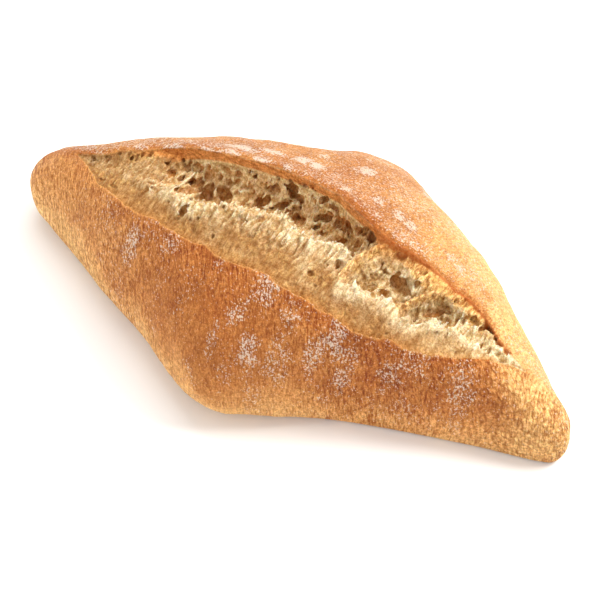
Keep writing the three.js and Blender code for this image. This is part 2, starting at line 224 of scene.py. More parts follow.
# ---------------------------------------------------------------- slash, as a height field
def middle_depth(t, u, ridge, x):
    zero = np.zeros_like(x)
    ridge = ridge + 0.050 * noise(x / 1.2, zero, zero, 37) + 0.034 * noise(x / 0.6, zero, zero + 3, 38)
    band = along(BAND, np.clip(x, BAND[0][0], BAND[-1][0]))
    inside = np.clip((t - ridge) / np.maximum(band - ridge, 0.05), 0, 1)
    deep_ = 1.0 + (along(HOLLOW, inside) - 1.0) * (1 - (1 - HOLLOW_LEFT) * smooth(HOLLOW_FADES, HOLLOW_GONE, x))
    top = along(BAND_TOP, np.clip((t - band) / np.maximum(1 - band, 0.01), 0, 1))
    return np.where(t < ridge, along(SECTION_MIDDLE, np.minimum(u, 0.5)), np.where(t < band, deep_, top))


def slash_depth(t, x):
    """depth of the torn crumb below the dome, t across from the front lip (0) to the back lip (1)"""
    ridge = along(RIDGE, x)
    u = np.where(t < ridge, t / (2 * ridge), 0.5 + (t - ridge) / (2 * (1 - ridge)))
    u = np.clip(u, 0, 1)
    cleft = smooth(CLEFT_FROM, CLEFT_FULL, x)
    middle = smooth(SWITCH_FROM, SWITCH_TO, x)
    end = np.minimum(smooth(SLASH_LEFT - 2, SLASH_LEFT + END_TAPER, x), 1 - smooth(SLASH_RIGHT - END_TAPER * 1.6, SLASH_RIGHT + 2, x))
    d = (along(SECTION_SHALLOW, u) * (1 - cleft) + along(SECTION_BACK, u) * cleft) * (1 - middle) + middle_depth(t, u, ridge, x) * middle
    return d * (0.35 + 0.65 * end)


def lip_wobble(x, seed):
    z = np.zeros_like(x)
    return 0.45 * noise(x / 6.0, z, z, seed) + 0.25 * noise(x / 2.1, z + 5, z, seed + 1)


def front_lip(x):
    return along(FRONT_LIP, np.clip(x, SLASH_LEFT, SLASH_RIGHT)) + lip_wobble(x, 31) * smooth(0, 6, np.minimum(x - SLASH_LEFT, SLASH_RIGHT - x))


def back_lip(x):
    return along(BACK_LIP, np.clip(x, SLASH_LEFT, SLASH_RIGHT)) + 0.8 * lip_wobble(x, 35) * smooth(0, 6, np.minimum(x - SLASH_LEFT, SLASH_RIGHT - x))


# ---------------------------------------------------------------- sampling grid
gx = np.arange(-91.0, 88.0, VOX)
gy = np.arange(-46.5, 54.0, VOX)
gz = np.arange(-1.05, 50.0, VOX)
NX, NY, NZ = len(gx), len(gy), len(gz)
X2, Y2 = np.meshgrid(gx, gy, indexing="ij")

S2, RO2, PHI2 = ring_of(X2, Y2)
WIDE2, AMP2 = plan_terms(X2, Y2)
RX2 = RO2 * np.cos(PHI2)
TT2 = np.minimum(1, np.where(RX2 > 0, RX2 / REACH[0], -RX2 / REACH[2]))
INSET2 = BASE_INSET + (np.where(RX2 > 0, BASE_INSET_RIGHT, BASE_INSET_LEFT) - BASE_INSET) * TT2 * TT2
S02 = 1 - INSET2 / RO2
Q2 = np.maximum(0, (S2 - S02) / (1 - S02))
LIFT2 = lift(X2, Y2) * np.clip(1 - S2**6, 0, 1)
DOME2 = WIDE2 + AMP2 * np.maximum(0, 1 - np.minimum(S2, 1) ** DOME_M) ** DOME_P


def body_field():
    """about the distance to the uncut loaf's surface, in mm, negative inside"""
    sm = np.minimum(S2, 1.35) ** DOME_M
    parts = []
    for upper in (True, False):
        f = np.empty((NX, NY, NZ), np.float32)
        for k, z in enumerate(gz):
            if upper:
                up = np.clip((z - WIDE2) / (0.6 * AMP2), 0, 1)
                T = np.maximum(z - LIFT2 * up - WIDE2, 0) / AMP2
                f[:, :, k] = sm + T ** (1 / DOME_P) - 1
            else:
                f[:, :, k] = np.hypot(np.minimum(Q2, 4), np.maximum(WIDE2 - z, 0) / WIDE2) - 1
        gxx, gyy, gzz = np.gradient(f, VOX)
        g = np.sqrt(gxx * gxx + gyy * gyy + gzz * gzz)
        parts.append(np.clip(f / np.maximum(g, 0.008), -9, 5).astype(np.float32))
    return np.where(gz[None, None, :] > WIDE2[:, :, None], parts[0], parts[1])


BODY = body_field()

# soft unevenness of the whole crust
def crust_relief(x, y, z):
    r = 0.55 * noise(x / 17.0, y / 15.0, z / 15.0, 51) + 0.28 * noise(x / 6.5, y / 6.5, z / 7.5, 52) + 0.10 * noise(x / 2.6, y / 2.6, z / 3.2, 53)
    return r * smooth(0.5, 5.0, z)


near = np.abs(BODY) < 2.5
ii, jj, kk = np.nonzero(near)
px, py, pz = gx[ii], gy[jj], gz[kk]
rel = crust_relief(px, py, pz)


def groove(px, py, pz, a, b, r, depth):
    """smooth dent along the segment a-b"""
    a, b = np.array(a, float), np.array(b, float)
    d = b - a
    t = np.clip(((px - a[0]) * d[0] + (py - a[1]) * d[1] + (pz - a[2]) * d[2]) / (d @ d), 0, 1)
    dist = np.sqrt((px - a[0] - t * d[0]) ** 2 + (py - a[1] - t * d[1]) ** 2 + (pz - a[2] - t * d[2]) ** 2)
    return -depth * np.exp(-((dist / r) ** 2))


BODY[ii, jj, kk] += -rel
del near, ii, jj, kk, px, py, pz, rel

# ---------------------------------------------------------------- the slash box
i0, i1 = np.searchsorted(gx, [SLASH_LEFT - 4, SLASH_RIGHT + 4])
j0, j1 = np.searchsorted(gy, [-25.0, 18.0])
k0, k1 = np.searchsorted(gz, [14.0, 49.9])
bx, by, bz = gx[i0:i1], gy[j0:j1], gz[k0:k1]
XB, YB = np.meshgrid(bx, by, indexing="ij")
YF2, YK2 = front_lip(XB), back_lip(XB)
T2 = (YB - YF2) / np.maximum(YK2 - YF2, 0.6)
ZC2 = dome(XB, YB) - slash_depth(np.clip(T2, -0.05, 1.0), XB)
gzx, gzy = np.gradient(ZC2, VOX)
SL2 = 1 / np.sqrt(1 + np.minimum(gzx * gzx + gzy * gzy, 9.0))
inx = np.minimum(XB - SLASH_LEFT, SLASH_RIGHT - XB)

zz = bz[None, None, :]
# negative inside the removed volume
REM = (ZC2[:, :, None] - zz) * SL2[:, :, None]
WALLS2 = np.maximum(np.maximum((YF2 - YB), (YB - YK2)) * 0.95, -inx)
REM = np.maximum(REM, WALLS2[:, :, None]).astype(np.float32)
SMOOTH_REM = REM.copy()

# torn relief: strands run across the slash, fluffy lumps, and fine pebbling
pick = np.abs(REM) < 3.2
ii, jj, kk = np.nonzero(pick)
px, py, pz = bx[ii], by[jj], bz[kk]
t = T2[ii, jj]
ridge = along(RIDGE, px)
cleft = smooth(CLEFT_FROM, CLEFT_FULL + 8, px) * (1 - smooth(SLASH_RIGHT - 14, SLASH_RIGHT - 2, px))
torn = smooth(0.16, 0.42, t + 0.12 * noise(px / 9.0, py / 9.0, pz / 9.0, 61)) * (1 - 0.75 * smooth(0.955, 1.0, t))
torn = torn * (0.30 + 0.70 * cleft) * (1 - 0.70 * smooth(0.77, 0.85, t) * smooth(14, 20, px))
bend = 1.3 * noise(px / 7.0, py / 7.0, pz / 9.0, 62) - 0.25 * (py + 4) * smooth(6, 20, px)
strand = 1 - np.abs(noise((px + bend) / 1.15, py / 8.0, pz / 6.0, 63)) * 1.7
strand2 = 1 - np.abs(noise((px + bend) / 0.72, py / 4.6, pz / 3.6, 64)) * 1.7
lumps = fbm(px / 4.6, py / 6.0, pz / 4.6, 65, 2)
fine = fbm((px + bend) / 0.95, py / 2.4, pz / 1.5, 70, 2)
on_ridge = np.exp(-(((t - ridge) / 0.16) ** 2))
relief = torn * ((0.80 + 0.80 * on_ridge) * (strand - 0.5) + 0.62 * (strand2 - 0.5) + 0.50 * lumps + 0.45 * fine - 0.15)
LIFTB = lift(XB, YB)
DOMEB = dome(XB, YB)
under_crust = (DOMEB + LIFTB)[ii, jj] - pz
relief *= 1 - 0.88 * smooth(0.82, 0.92, t) * (1 - smooth(3.4, 5.0, under_crust)) * smooth(-62, -50, px)
relief *= 1 - 0.7 * smooth(0.86, 0.95, t) * (1 - smooth(-50, -42, px))
relief += (1 - torn) * (0.30 * noise(px / 3.4, py / 3.8, pz / 3.4, 75) + 0.20 * fbm(px / 1.2, py / 1.4, pz / 1.2, 77, 2))
rim = smooth(0.0, 0.05, t) * smooth(0.0, 0.03, 1 - t) * smooth(0.5, 4, np.minimum(px - SLASH_LEFT, SLASH_RIGHT - px))
REM[ii, jj, kk] += (relief * rim).astype(np.float32)
del ii, jj, kk, px, py, pz, strand, strand2, lumps, fine, relief, torn, pick

# ---------------------------------------------------------------- holes in the crumb
# HOLES_SEEN: centre X, Y, Z, then half sizes across, up and in, and the turn in degrees, of the larger holes
# (their axes lie along the slanting view in which the slash opens towards the front right)
HOLES_SEEN = [
    (-62.3, 4.6, 30.6, 1.2, 1.0, 2.0, 0), (-60.9, -5.9, 29.5, 1.2, 0.7, 2.0, -10), (-67.8, -1.3, 27.1, 1.2, 0.9, 1.4, 20), (-68.0, 1.9, 26.6, 2.9, 1.6, 0.9, 25),
    (-47.9, 5.7, 32.7, 1.0, 0.7, 1.6, 0), (-44.5, 3.6, 32.2, 1.9, 1.3, 2.6, 35), (-41.0, 7.7, 32.8, 2.0, 1.6, 1.6, 0), (-41.4, 3.7, 31.9, 1.4, 0.9, 1.4, -20),
    (-38.0, 5.5, 31.0, 2.7, 1.2, 3.2, -12), (-38.1, 1.7, 31.3, 2.2, 1.2, 2.4, 30), (-47.1, -0.3, 33.6, 1.3, 1.0, 1.2, -50), (-43.5, -6.0, 36.6, 1.4, 0.9, 1.3, 40),
    (-40.8, -5.7, 37.6, 0.6, 0.9, 0.9, 0), (-46.5, -4.0, 35.3, 0.7, 0.6, 0.9, 0), (-57.8, 4.2, 30.3, 0.6, 1.0, 0.8, -40), (-55.7, 3.1, 31.0, 0.6, 1.0, 1.0, -40),
    (-55.2, 4.8, 31.3, 0.6, 0.7, 0.8, -40), (-52.5, 5.2, 32.1, 1.2, 1.9, 1.0, -20), (-31.0, -10.7, 39.0, 2.4, 1.0, 2.6, 52), (-31.8, -13.5, 38.0, 0.8, 0.7, 1.6, 20),
    (-25.5, -14.2, 39.3, 0.7, 1.1, 1.1, 0), (-18.8, -14.8, 40.3, 0.6, 1.0, 1.2, 0), (-32.9, 4.2, 30.4, 2.6, 2.7, 5.0, 10), (-29.2, 5.4, 31.5, 2.2, 2.2, 3.6, 0),
    (-32.4, 10.1, 36.9, 0.7, 0.6, 1.0, 10), (-30.4, 9.9, 36.2, 1.0, 1.0, 1.1, 0), (-26.8, 10.4, 36.2, 1.1, 2.0, 2.2, -5), (-22.9, 11.4, 38.8, 0.6, 0.6, 1.2, 0),
    (-22.4, 11.1, 37.8, 0.7, 0.6, 1.6, 0), (-21.3, 10.8, 37.1, 0.6, 0.6, 1.2, 0), (-22.4, 7.3, 33.3, 1.1, 1.1, 1.8, 0), (-17.5, 7.8, 32.9, 2.3, 1.9, 4.2, 35),
    (-16.2, 11.2, 36.5, 2.0, 1.7, 3.4, 0), (-15.5, 11.8, 40.4, 0.9, 0.6, 1.2, 0), (-18.7, 10.8, 36.6, 0.9, 0.7, 1.4, 0), (-12.2, 9.4, 33.7, 2.4, 1.3, 3.6, 25),
    (-10.9, 12.5, 37.6, 2.0, 3.3, 5.4, 20), (-8.0, 11.9, 36.2, 1.1, 1.4, 4.5, 0), (-8.1, 10.0, 34.4, 1.0, 0.7, 3.0, 0), (-6.7, 8.3, 32.9, 2.4, 1.3, 4.2, -25),
    (3.0, -2.6, 42.9, 1.3, 0.7, 2.6, 20), (-14.9, -7.5, 42.4, 1.5, 1.3, 1.2, 0), (-10.3, -10.7, 41.9, 0.6, 0.6, 1.2, -30), (-9.7, -7.3, 42.6, 0.7, 0.6, 1.2, 0),
    (-4.6, -10.4, 42.3, 1.0, 1.0, 1.2, 0), (-8.9, -8.0, 42.6, 1.1, 2.5, 0.8, -35), (4.0, -9.8, 42.5, 1.1, 1.3, 1.0, 0), (-7.1, 12.4, 41.6, 0.6, 0.7, 1.2, 0),
    (-4.8, 12.4, 42.2, 0.6, 0.7, 1.2, 0), (-0.8, 12.5, 39.7, 1.6, 2.1, 2.8, 0), (2.9, 12.0, 39.1, 0.8, 1.1, 2.2, 0), (5.5, 11.3, 40.9, 0.6, 0.6, 1.4, 0),
    (-3.7, 11.6, 37.9, 1.3, 2.6, 1.0, 0), (0.5, 10.5, 35.0, 2.7, 1.3, 4.4, -5), (6.9, 10.2, 36.1, 4.0, 2.0, 5.2, -22), (-0.4, 7.4, 33.5, 1.8, 1.1, 3.2, 15),
    (1.8, 6.2, 33.5, 1.1, 0.7, 2.4, 0), (13.1, 8.8, 38.7, 2.1, 1.8, 3.4, -10), (15.2, -6.4, 41.7, 1.2, 1.7, 3.2, -25), (10.2, -12.4, 41.3, 1.0, 0.8, 1.8, 0),
    (18.5, -8.8, 41.4, 2.1, 1.4, 3.6, -25), (35.9, -7.7, 36.6, 1.4, 0.8, 3.4, 20), (37.3, -9.9, 35.6, 1.2, 1.1, 1.6, 0), (41.9, -7.4, 34.7, 1.8, 0.8, 1.0, 0),
    (19.7, -2.9, 35.3, 4.4, 1.1, 5.2, 13), (36.2, -2.8, 31.5, 3.2, 1.0, 5.0, 18), (29.6, 1.2, 34.6, 3.8, 2.3, 3.4, -38), (22.9, 2.4, 36.9, 1.0, 1.4, 2.5, 0),
    (38.2, 0.2, 30.7, 6.3, 1.4, 4.5, 6), (39.6, 3.3, 32.1, 1.9, 1.6, 3.5, 0), (42.7, 3.4, 30.8, 1.3, 1.4, 3.0, 0), (33.6, -1.6, 32.5, 1.4, 1.1, 3.0, 0),
    (24.4, 6.4, 42.2, 1.2, 0.8, 1.2, 30), (33.4, 6.2, 37.6, 1.3, 1.0, 1.2, 0), (36.0, 4.0, 36.6, 1.3, 1.4, 0.9, 0), (44.1, 5.0, 32.8, 0.7, 1.1, 1.8, -15),
    (47.7, 3.8, 30.2, 1.3, 1.0, 1.6, 0), (50.6, 4.6, 30.0, 1.9, 1.1, 2.4, -35), (52.6, 3.7, 29.0, 0.9, 0.7, 2.2, 0), (55.5, 5.2, 27.5, 2.3, 0.9, 2.4, -45),
    (58.8, 3.7, 26.4, 2.0, 0.6, 2.0, -50), (16.8, 7.7, 39.6, 1.7, 2.6, 4.5, 20), (51.5, -1.9, 31.2, 0.7, 1.2, 1.2, 35),
]


def sample2(grid, x, y):
    i = np.clip((x - bx[0]) / VOX, 0, len(bx) - 2)
    j = np.clip((y - by[0]) / VOX, 0, len(by) - 2)
    a, b = int(i), int(j)
    fx, fy = i - a, j - b
    return grid[a, b] * (1 - fx) * (1 - fy) + grid[a + 1, b] * fx * (1 - fy) + grid[a, b + 1] * (1 - fx) * fy + grid[a + 1, b + 1] * fx * fy


HOLES = np.full(REM.shape, 4.0, np.float32)


def hole(c, r, turn=0.0, lean=0.0, soft=0.25):
    """ellipsoid, wobbled a little so no two look alike"""
    m = max(r) * 1.5 + 0.8
    a0, a1 = np.searchsorted(bx, [c[0] - m, c[0] + m])
    b0, b1 = np.searchsorted(by, [c[1] - m, c[1] + m])
    c0, c1 = np.searchsorted(bz, [c[2] - m, c[2] + m])
    if a0 >= a1 or b0 >= b1 or c0 >= c1:
        return
    dx, dy, dz = np.meshgrid(bx[a0:a1] - c[0], by[b0:b1] - c[1], bz[c0:c1] - c[2], indexing="ij")
    ca, sa = math.cos(math.radians(turn)), math.sin(math.radians(turn))
    ex, ey = dx * ca + dy * sa, -dx * sa + dy * ca
    ez = dz + lean * ey
    q = np.sqrt((ex / r[0]) ** 2 + (ey / r[1]) ** 2 + (ez / r[2]) ** 2)
    if min(r) > 0.9:
        s = 2.4 / max(1.2, min(r))
        q = q + 0.16 * noise((dx + c[0]) * s * 0.45, (dy + c[1]) * s * 0.45, (dz + c[2]) * s * 0.45, 81)
    e = ((q - 1) * min(r)).astype(np.float32)
    w = HOLES[a0:a1, b0:b1, c0:c1]
    h = np.clip(0.5 + 0.5 * (w - e) / soft, 0, 1)
    w[...] = w * (1 - h) + e * h - soft * h * (1 - h)


placed_seen = []
VIEW_AZ, VIEW_EL = math.radians(31.98), math.radians(50.0)
V_BACK = np.array((math.sin(VIEW_AZ) * math.cos(VIEW_EL), -math.cos(VIEW_AZ) * math.cos(VIEW_EL), math.sin(VIEW_EL)))
V_RIGHT = np.array((math.cos(VIEW_AZ), math.sin(VIEW_AZ), 0.0))
V_UP = np.cross(V_BACK, V_RIGHT)


def seen_hole(c, across, up_, in_, turn, soft=0.5):
    r = np.array((across, up_, in_))
    m = r.max() * 1.45 + 0.8
    a0, a1 = np.searchsorted(bx, [c[0] - m, c[0] + m])
    b0, b1 = np.searchsorted(by, [c[1] - m, c[1] + m])
    c0, c1 = np.searchsorted(bz, [c[2] - m, c[2] + m])
    if a0 >= a1 or b0 >= b1 or c0 >= c1:
        return
    g = np.meshgrid(bx[a0:a1], by[b0:b1], bz[c0:c1], indexing="ij")
    d = [g[k] - c[k] for k in range(3)]
    ca, sa = math.cos(math.radians(turn)), math.sin(math.radians(turn))
    ax1, ax2 = V_RIGHT * ca + V_UP * sa, -V_RIGHT * sa + V_UP * ca
    q = 0
    for ax, rr in ((ax1, r[0]), (ax2, r[1]), (V_BACK, r[2])):
        q = q + ((d[0] * ax[0] + d[1] * ax[1] + d[2] * ax[2]) / rr) ** 2
    q = np.sqrt(q)
    k = max(1.0, r.min())
    q = q + 0.34 * noise(g[0] / k, g[1] / k, g[2] / k, 83) + 0.14 * noise(g[0] / 0.8, g[1] / 0.8, g[2] / 0.8, 84)
    e = ((q - 1) * r.min()).astype(np.float32)
    w = HOLES[a0:a1, b0:b1, c0:c1]
    h = np.clip(0.5 + 0.5 * (w - e) / soft, 0, 1)
    w[...] = w * (1 - h) + e * h - soft * h * (1 - h)


for hx, hy, hz, hw, hh, hd, ha in HOLES_SEEN:
    seen_hole((hx, hy, hz), hw, hh, 0.68 * hd, ha)
    placed_seen.append((hx, hy, hz, max(hw, hh)))

# scattered holes: dense and large in the cleft and under the back lip, sparse and small in the smooth strip
placed = list(placed_seen)


def scatter(count, r_lo, r_hi, t_lo, t_hi, x_lo, x_hi, sink, stretch, gap, power=2.0):
    made = 0
    for _ in range(count * 6):
        if made >= count:
            break
        x = RNG.uniform(x_lo, x_hi)
        yf, yb = along(FRONT_LIP, x), along(BACK_LIP, x)
        tt = RNG.uniform(t_lo, t_hi)
        y = yf + tt * (yb - yf)
        r = r_lo + (r_hi - r_lo) * RNG.uniform() ** power
        z = sample2(ZC2, x, y) - RNG.uniform(-0.35, sink) * r
        if min(y - yf, yb - y) < r * 0.75 + 0.5 or min(x - SLASH_LEFT, SLASH_RIGHT - x) < r + 2:
            continue
        if any((x - a) ** 2 + (y - b) ** 2 + (z - c) ** 2 < (gap * (r + q)) ** 2 for a, b, c, q in placed[-900:]):
            continue
        placed.append((x, y, z, r))
        hole((x, y, z), (r * RNG.uniform(0.8, 1.15), r * stretch * RNG.uniform(0.9, 1.2), r * RNG.uniform(0.85, 1.2)), RNG.uniform(-25, 25), RNG.uniform(-0.3, 0.3))
        made += 1


scatter(40, 0.9, 1.6, 0.55, 0.97, -44, 14, 0.5, 1.3, 0.80, 1.6)
scatter(150, 0.5, 1.0, 0.40, 0.93, -52, 14, 0.4, 1.8, 0.80)
scatter(240, 0.4, 0.72, 0.22, 0.93, -66, 14, 0.3, 2.4, 0.85)
scatter(60, 0.4, 0.85, 0.42, 0.97, 14, 60, 0.3, 2.0, 0.95)
scatter(90, 0.35, 0.55, 0.05, 0.34, -64, 56, 0.1, 1.2, 1.2)

# ---------------------------------------------------------------- strands and bridges left standing
# (start X, Y, depth below the dome), (end), half thickness: thin, seen as light threads
BRIDGES = [
    ((-32.6, 3.0, 2.6), (-34.0, -10.4, 0.9), 0.42),
    ((-36.8, 3.8, 2.4), (-38.0, -4.6, 1.4), 0.34),
]
# torn walls left standing between two hollows: points along the crest (X, Y, depth below the dome), half width at the
# crest, and how fast the wall widens downwards on its left and right side
FINS = [
    ([(21.6, 7.0, 0.3), (19.4, 2.0, 0.7), (17.7, -3.5, 0.8), (17.2, -9.0, 0.8)], 0.50, 0.10, 0.45),
    ([(40.0, 4.6, 1.2), (37.2, 1.2, 1.9), (35.2, -3.4, 2.3), (34.0, -7.0, 1.6)], 0.45, 0.12, 0.18),
]
BAR = np.full(REM.shape, 4.0, np.float32)
for (ax, ay, ad), (bx_, by_, bd), r in BRIDGES:
    A = np.array((ax, ay, sample2(DOMEB, ax, ay) - ad - r))
    B = np.array((bx_, by_, sample2(DOMEB, bx_, by_) - bd - r))
    lo, hi = np.minimum(A, B) - r - 1.2, np.maximum(A, B) + r + 1.2
    a0, a1 = np.searchsorted(bx, [lo[0], hi[0]])
    b0, b1 = np.searchsorted(by, [lo[1], hi[1]])
    c0, c1 = np.searchsorted(bz, [lo[2], hi[2]])
    gx_, gy_, gz_ = np.meshgrid(bx[a0:a1], by[b0:b1], bz[c0:c1], indexing="ij")
    d = B - A
    s = np.clip(((gx_ - A[0]) * d[0] + (gy_ - A[1]) * d[1] + (gz_ - A[2]) * d[2]) / (d @ d), 0, 1)
    wob = 0.5 * noise(gx_ / 1.6, gy_ / 3.0, gz_ / 1.8, 91)
    sag = 0.8 * np.sin(PI * s)
    q = np.sqrt((gx_ - A[0] - s * d[0]) ** 2 + (gy_ - A[1] - s * d[1]) ** 2 + ((gz_ + sag - A[2] - s * d[2]) * 0.8) ** 2) - r * (0.75 + 0.5 * np.abs(2 * s - 1)) + wob
    w = BAR[a0:a1, b0:b1, c0:c1]
    np.minimum(w, q.astype(np.float32), out=w)

FIN_NEAR = np.full(XB.shape, 99.0)
for crest, half, left_slope, right_slope in FINS:
    top = [np.array((cx, cy, sample2(DOMEB, cx, cy) - cd)) for cx, cy, cd in crest]
    best = np.full(XB.shape, 99.0)
    crest_z, side = np.zeros(XB.shape), np.zeros(XB.shape)
    for A, B in zip(top[:-1], top[1:]):
        d = (B - A)[:2]
        s = np.clip(((XB - A[0]) * d[0] + (YB - A[1]) * d[1]) / (d @ d), 0, 1)
        ex, ey = XB - A[0] - s * d[0], YB - A[1] - s * d[1]
        dist = np.hypot(ex, ey)
        m = dist < best
        best = np.where(m, dist, best)
        crest_z = np.where(m, A[2] + s * (B[2] - A[2]), crest_z)
        side = np.where(m, np.sign(ex * -d[1] + ey * d[0]), side)
    FIN_NEAR = np.minimum(FIN_NEAR, best * np.where(side > 0, 0.5, 1.2))
    a0, a1 = np.searchsorted(bx, [min(q[0] for q in top) - 6, max(q[0] for q in top) + 6])
    b0, b1 = np.searchsorted(by, [min(q[1] for q in top) - 3, max(q[1] for q in top) + 3])
    gx_, gy_, gz_ = np.meshgrid(bx[a0:a1], by[b0:b1], bz, indexing="ij")
    below_top = crest_z[a0:a1, b0:b1, None] - gz_
    slope = np.where(side[a0:a1, b0:b1, None] > 0, right_slope, left_slope)
    fibres = 0.35 * (np.abs(noise(gx_ / 1.6, gy_ / 1.0, gz_ / 4.0, 97)) * 1.7 - 0.5) + 0.30 * noise(gx_ / 0.8, gy_ / 0.8, gz_ / 1.6, 98)
    q = np.maximum((best[a0:a1, b0:b1, None] - half - slope * np.maximum(below_top, 0)) / np.sqrt(1 + slope * slope), -below_top) + fibres
    q = np.where(best[a0:a1, b0:b1, None] < 6, q, 4.0)
    w = BAR[a0:a1, b0:b1]
    np.minimum(w, q.astype(np.float32), out=w)

# ---------------------------------------------------------------- join the fields
F = BODY
sub = F[i0:i1, j0:j1, k0:k1]
wall_back = (YB - YK2)[:, :, None].astype(np.float32)
h = np.clip(1 - np.abs(sub + wall_back) / 2.2, 0, 1) * (wall_back > -2.5) * (REM < 3.0)
sub += 2.2 * 0.25 * h * h * smooth(SLASH_LEFT, SLASH_LEFT + 8, XB)[:, :, None] * (1 - smooth(SLASH_RIGHT - 10, SLASH_RIGHT - 2, XB))[:, :, None]
sub = F[i0:i1, j0:j1, k0:k1]
BODY_SUB = sub.copy()
pick = np.abs(HOLES) < 2.0
ii, jj, kk = np.nonzero(pick)
px, py, pz = bx[ii], by[jj], bz[kk]
calm = 0.30 + 0.70 * smooth(0.30, 0.62, T2[ii, jj] + 0.1 * noise(px / 5, py / 5, pz / 5, 95)) * smooth(-54, -40, px)
HOLES[ii, jj, kk] += (calm * (0.62 * (0.5 - np.abs(noise((px - 0.25 * py) / 0.95, py / 3.2, pz / 2.6, 93)) * 1.7) + 0.32 * noise(px / 1.0, py / 1.4, pz / 1.0, 94))).astype(np.float32)
del ii, jj, kk, px, py, pz
crumb = np.maximum(BODY_SUB, -REM)
crumb = np.maximum(crumb, -HOLES)
bars = np.maximum(BAR, BODY_SUB + 0.5)
h = np.clip(0.5 + 0.5 * (crumb - bars) / 0.8, 0, 1)
crumb = crumb * (1 - h) + bars * h - 0.8 * h * (1 - h)
# holes and strands stay inside the slash's own plan
plain_cut = np.maximum(BODY_SUB, -REM)
under_lip = (YB - YK2 < 3.6)[:, :, None] & (YB > YF2)[:, :, None] & (inx > 2)[:, :, None] & (BODY_SUB < -1.5)
sub[...] = np.where((WALLS2 < 0.0)[:, :, None] | under_lip, crumb, plain_cut)


# ---------------------------------------------------------------- surface from the field
def surface_nets(f):
    """closed quad mesh of the zero level: one vertex in each cell the surface passes through"""
    neg = f < 0
    n = [s - 1 for s in f.shape]
    total = np.zeros(n, np.uint8)
    for a in (0, 1):
        for b in (0, 1):
            for c in (0, 1):
                total += neg[a : n[0] + a, b : n[1] + b, c : n[2] + c]
    act = (total > 0) & (total < 8)
    ci, cj, ck = np.nonzero(act)
    number = np.full(n, -1, np.int32)
    number[ci, cj, ck] = np.arange(len(ci), dtype=np.int32)
    pos = np.zeros((len(ci), 3))
    cnt = np.zeros(len(ci))
    for axis in range(3):
        u, v = [a for a in range(3) if a != axis]
        for du in (0, 1):
            for dv in (0, 1):
                off = [0, 0, 0]
                off[u], off[v] = du, dv
                a = (ci + off[0], cj + off[1], ck + off[2])
                off2 = list(off)
                off2[axis] = 1
                b = (ci + off2[0], cj + off2[1], ck + off2[2])
                fa, fb = f[a].astype(float), f[b].astype(float)
                cross = (fa < 0) != (fb < 0)
                tt = np.where(cross, fa / np.where(cross, fa - fb, 1), 0)
                p = np.zeros((len(ci), 3))
                p[:, u], p[:, v] = du, dv
                p[:, axis] = tt
                pos += p * cross[:, None]
                cnt += cross
    pos /= cnt[:, None]
    verts = np.stack([gx[ci] + pos[:, 0] * VOX, gy[cj] + pos[:, 1] * VOX, gz[ck] + pos[:, 2] * VOX], 1)
    quads = []
    for axis in range(3):
        u, v = [(1, 2), (2, 0), (0, 1)][axis]
        lo = [slice(None)] * 3
        hi = [slice(None)] * 3
        lo[axis], hi[axis] = slice(0, -1), slice(1, None)
        flip = neg[tuple(lo)] != neg[tuple(hi)]
        e = list(np.nonzero(flip))
        ok = (e[u] > 0) & (e[v] > 0) & (e[u] < n[u]) & (e[v] < n[v])
        e = [q[ok] for q in e]
        first_in = neg[tuple(e)]
        cells = []
        for du, dv in ((-1, -1), (0, -1), (0, 0), (-1, 0)):
            c = [e[0].copy(), e[1].copy(), e[2].copy()]
            c[u] += du
            c[v] += dv
            cells.append(number[tuple(c)])
        q = np.stack(cells, 1)
        quads.append(np.where(first_in[:, None], q, q[:, ::-1]))
    return verts, np.concatenate(quads)


verts, quads = surface_nets(F)


def largest_part(verts, quads):
    """drops loose crumbs and sealed bubbles: keeps the surface that most vertices are on"""
    lab = np.arange(len(verts))
    e = np.concatenate([quads[:, [0, 1]], quads[:, [1, 2]], quads[:, [2, 3]], quads[:, [3, 0]]])
    while True:
        m = np.minimum(lab[e[:, 0]], lab[e[:, 1]])
        new = lab.copy()
        np.minimum.at(new, e[:, 0], m)
        np.minimum.at(new, e[:, 1], m)
        new = new[new]
        new = new[new]
        if (new == lab).all():
            break
        lab = new
    ids, counts = np.unique(lab, return_counts=True)
    keep = lab == ids[counts.argmax()]
    remap = np.cumsum(keep) - 1
    q = quads[keep[quads[:, 0]]]
    return verts[keep], remap[q]


verts, quads = largest_part(verts, quads)
print("surface", len(verts), "vertices", len(quads), "quads")


def field_at(grid, p, origin):
    """trilinear sample of a grid at points"""
    q = (p - origin) / VOX
    i = np.clip(np.floor(q).astype(int), 0, np.array(grid.shape) - 2)
    f = np.clip(q - i, 0, 1)
    out = 0
    for a in (0, 1):
        for b in (0, 1):
            for c in (0, 1):
                w = np.where(a, f[:, 0], 1 - f[:, 0]) * np.where(b, f[:, 1], 1 - f[:, 1]) * np.where(c, f[:, 2], 1 - f[:, 2])
                out = out + w * grid[i[:, 0] + a, i[:, 1] + b, i[:, 2] + c]
    return out


def in_slash(p, margin=0.0):
    return (p[:, 0] > bx[0]) & (p[:, 0] < bx[-1]) & (p[:, 1] > by[0]) & (p[:, 1] < by[-1]) & (p[:, 2] > bz[0])


def depth_below_crust(p):
    d = np.zeros(len(p))
    m = in_slash(p)
    d[m] = -field_at(BODY_SUB, p[m], np.array([bx[0], by[0], bz[0]]))
    return d


# ---------------------------------------------------------------- mesh, thinned on the smooth crust
def make_mesh(name, v, q):
    me = bpy.data.meshes.new(name)
    me.vertices.add(len(v))
    me.vertices.foreach_set("co", (v + np.array([SHIFT_X, SHIFT_Y, 0.0])).astype(np.float32).ravel() * 0.001)
    me.loops.add(q.size)
    me.loops.foreach_set("vertex_index", q.astype(np.int32).ravel())
    me.polygons.add(len(q))
    me.polygons.foreach_set("loop_start", np.arange(0, q.size, q.shape[1], dtype=np.int32))
    me.update(calc_edges=True)
    me.validate()
    return me


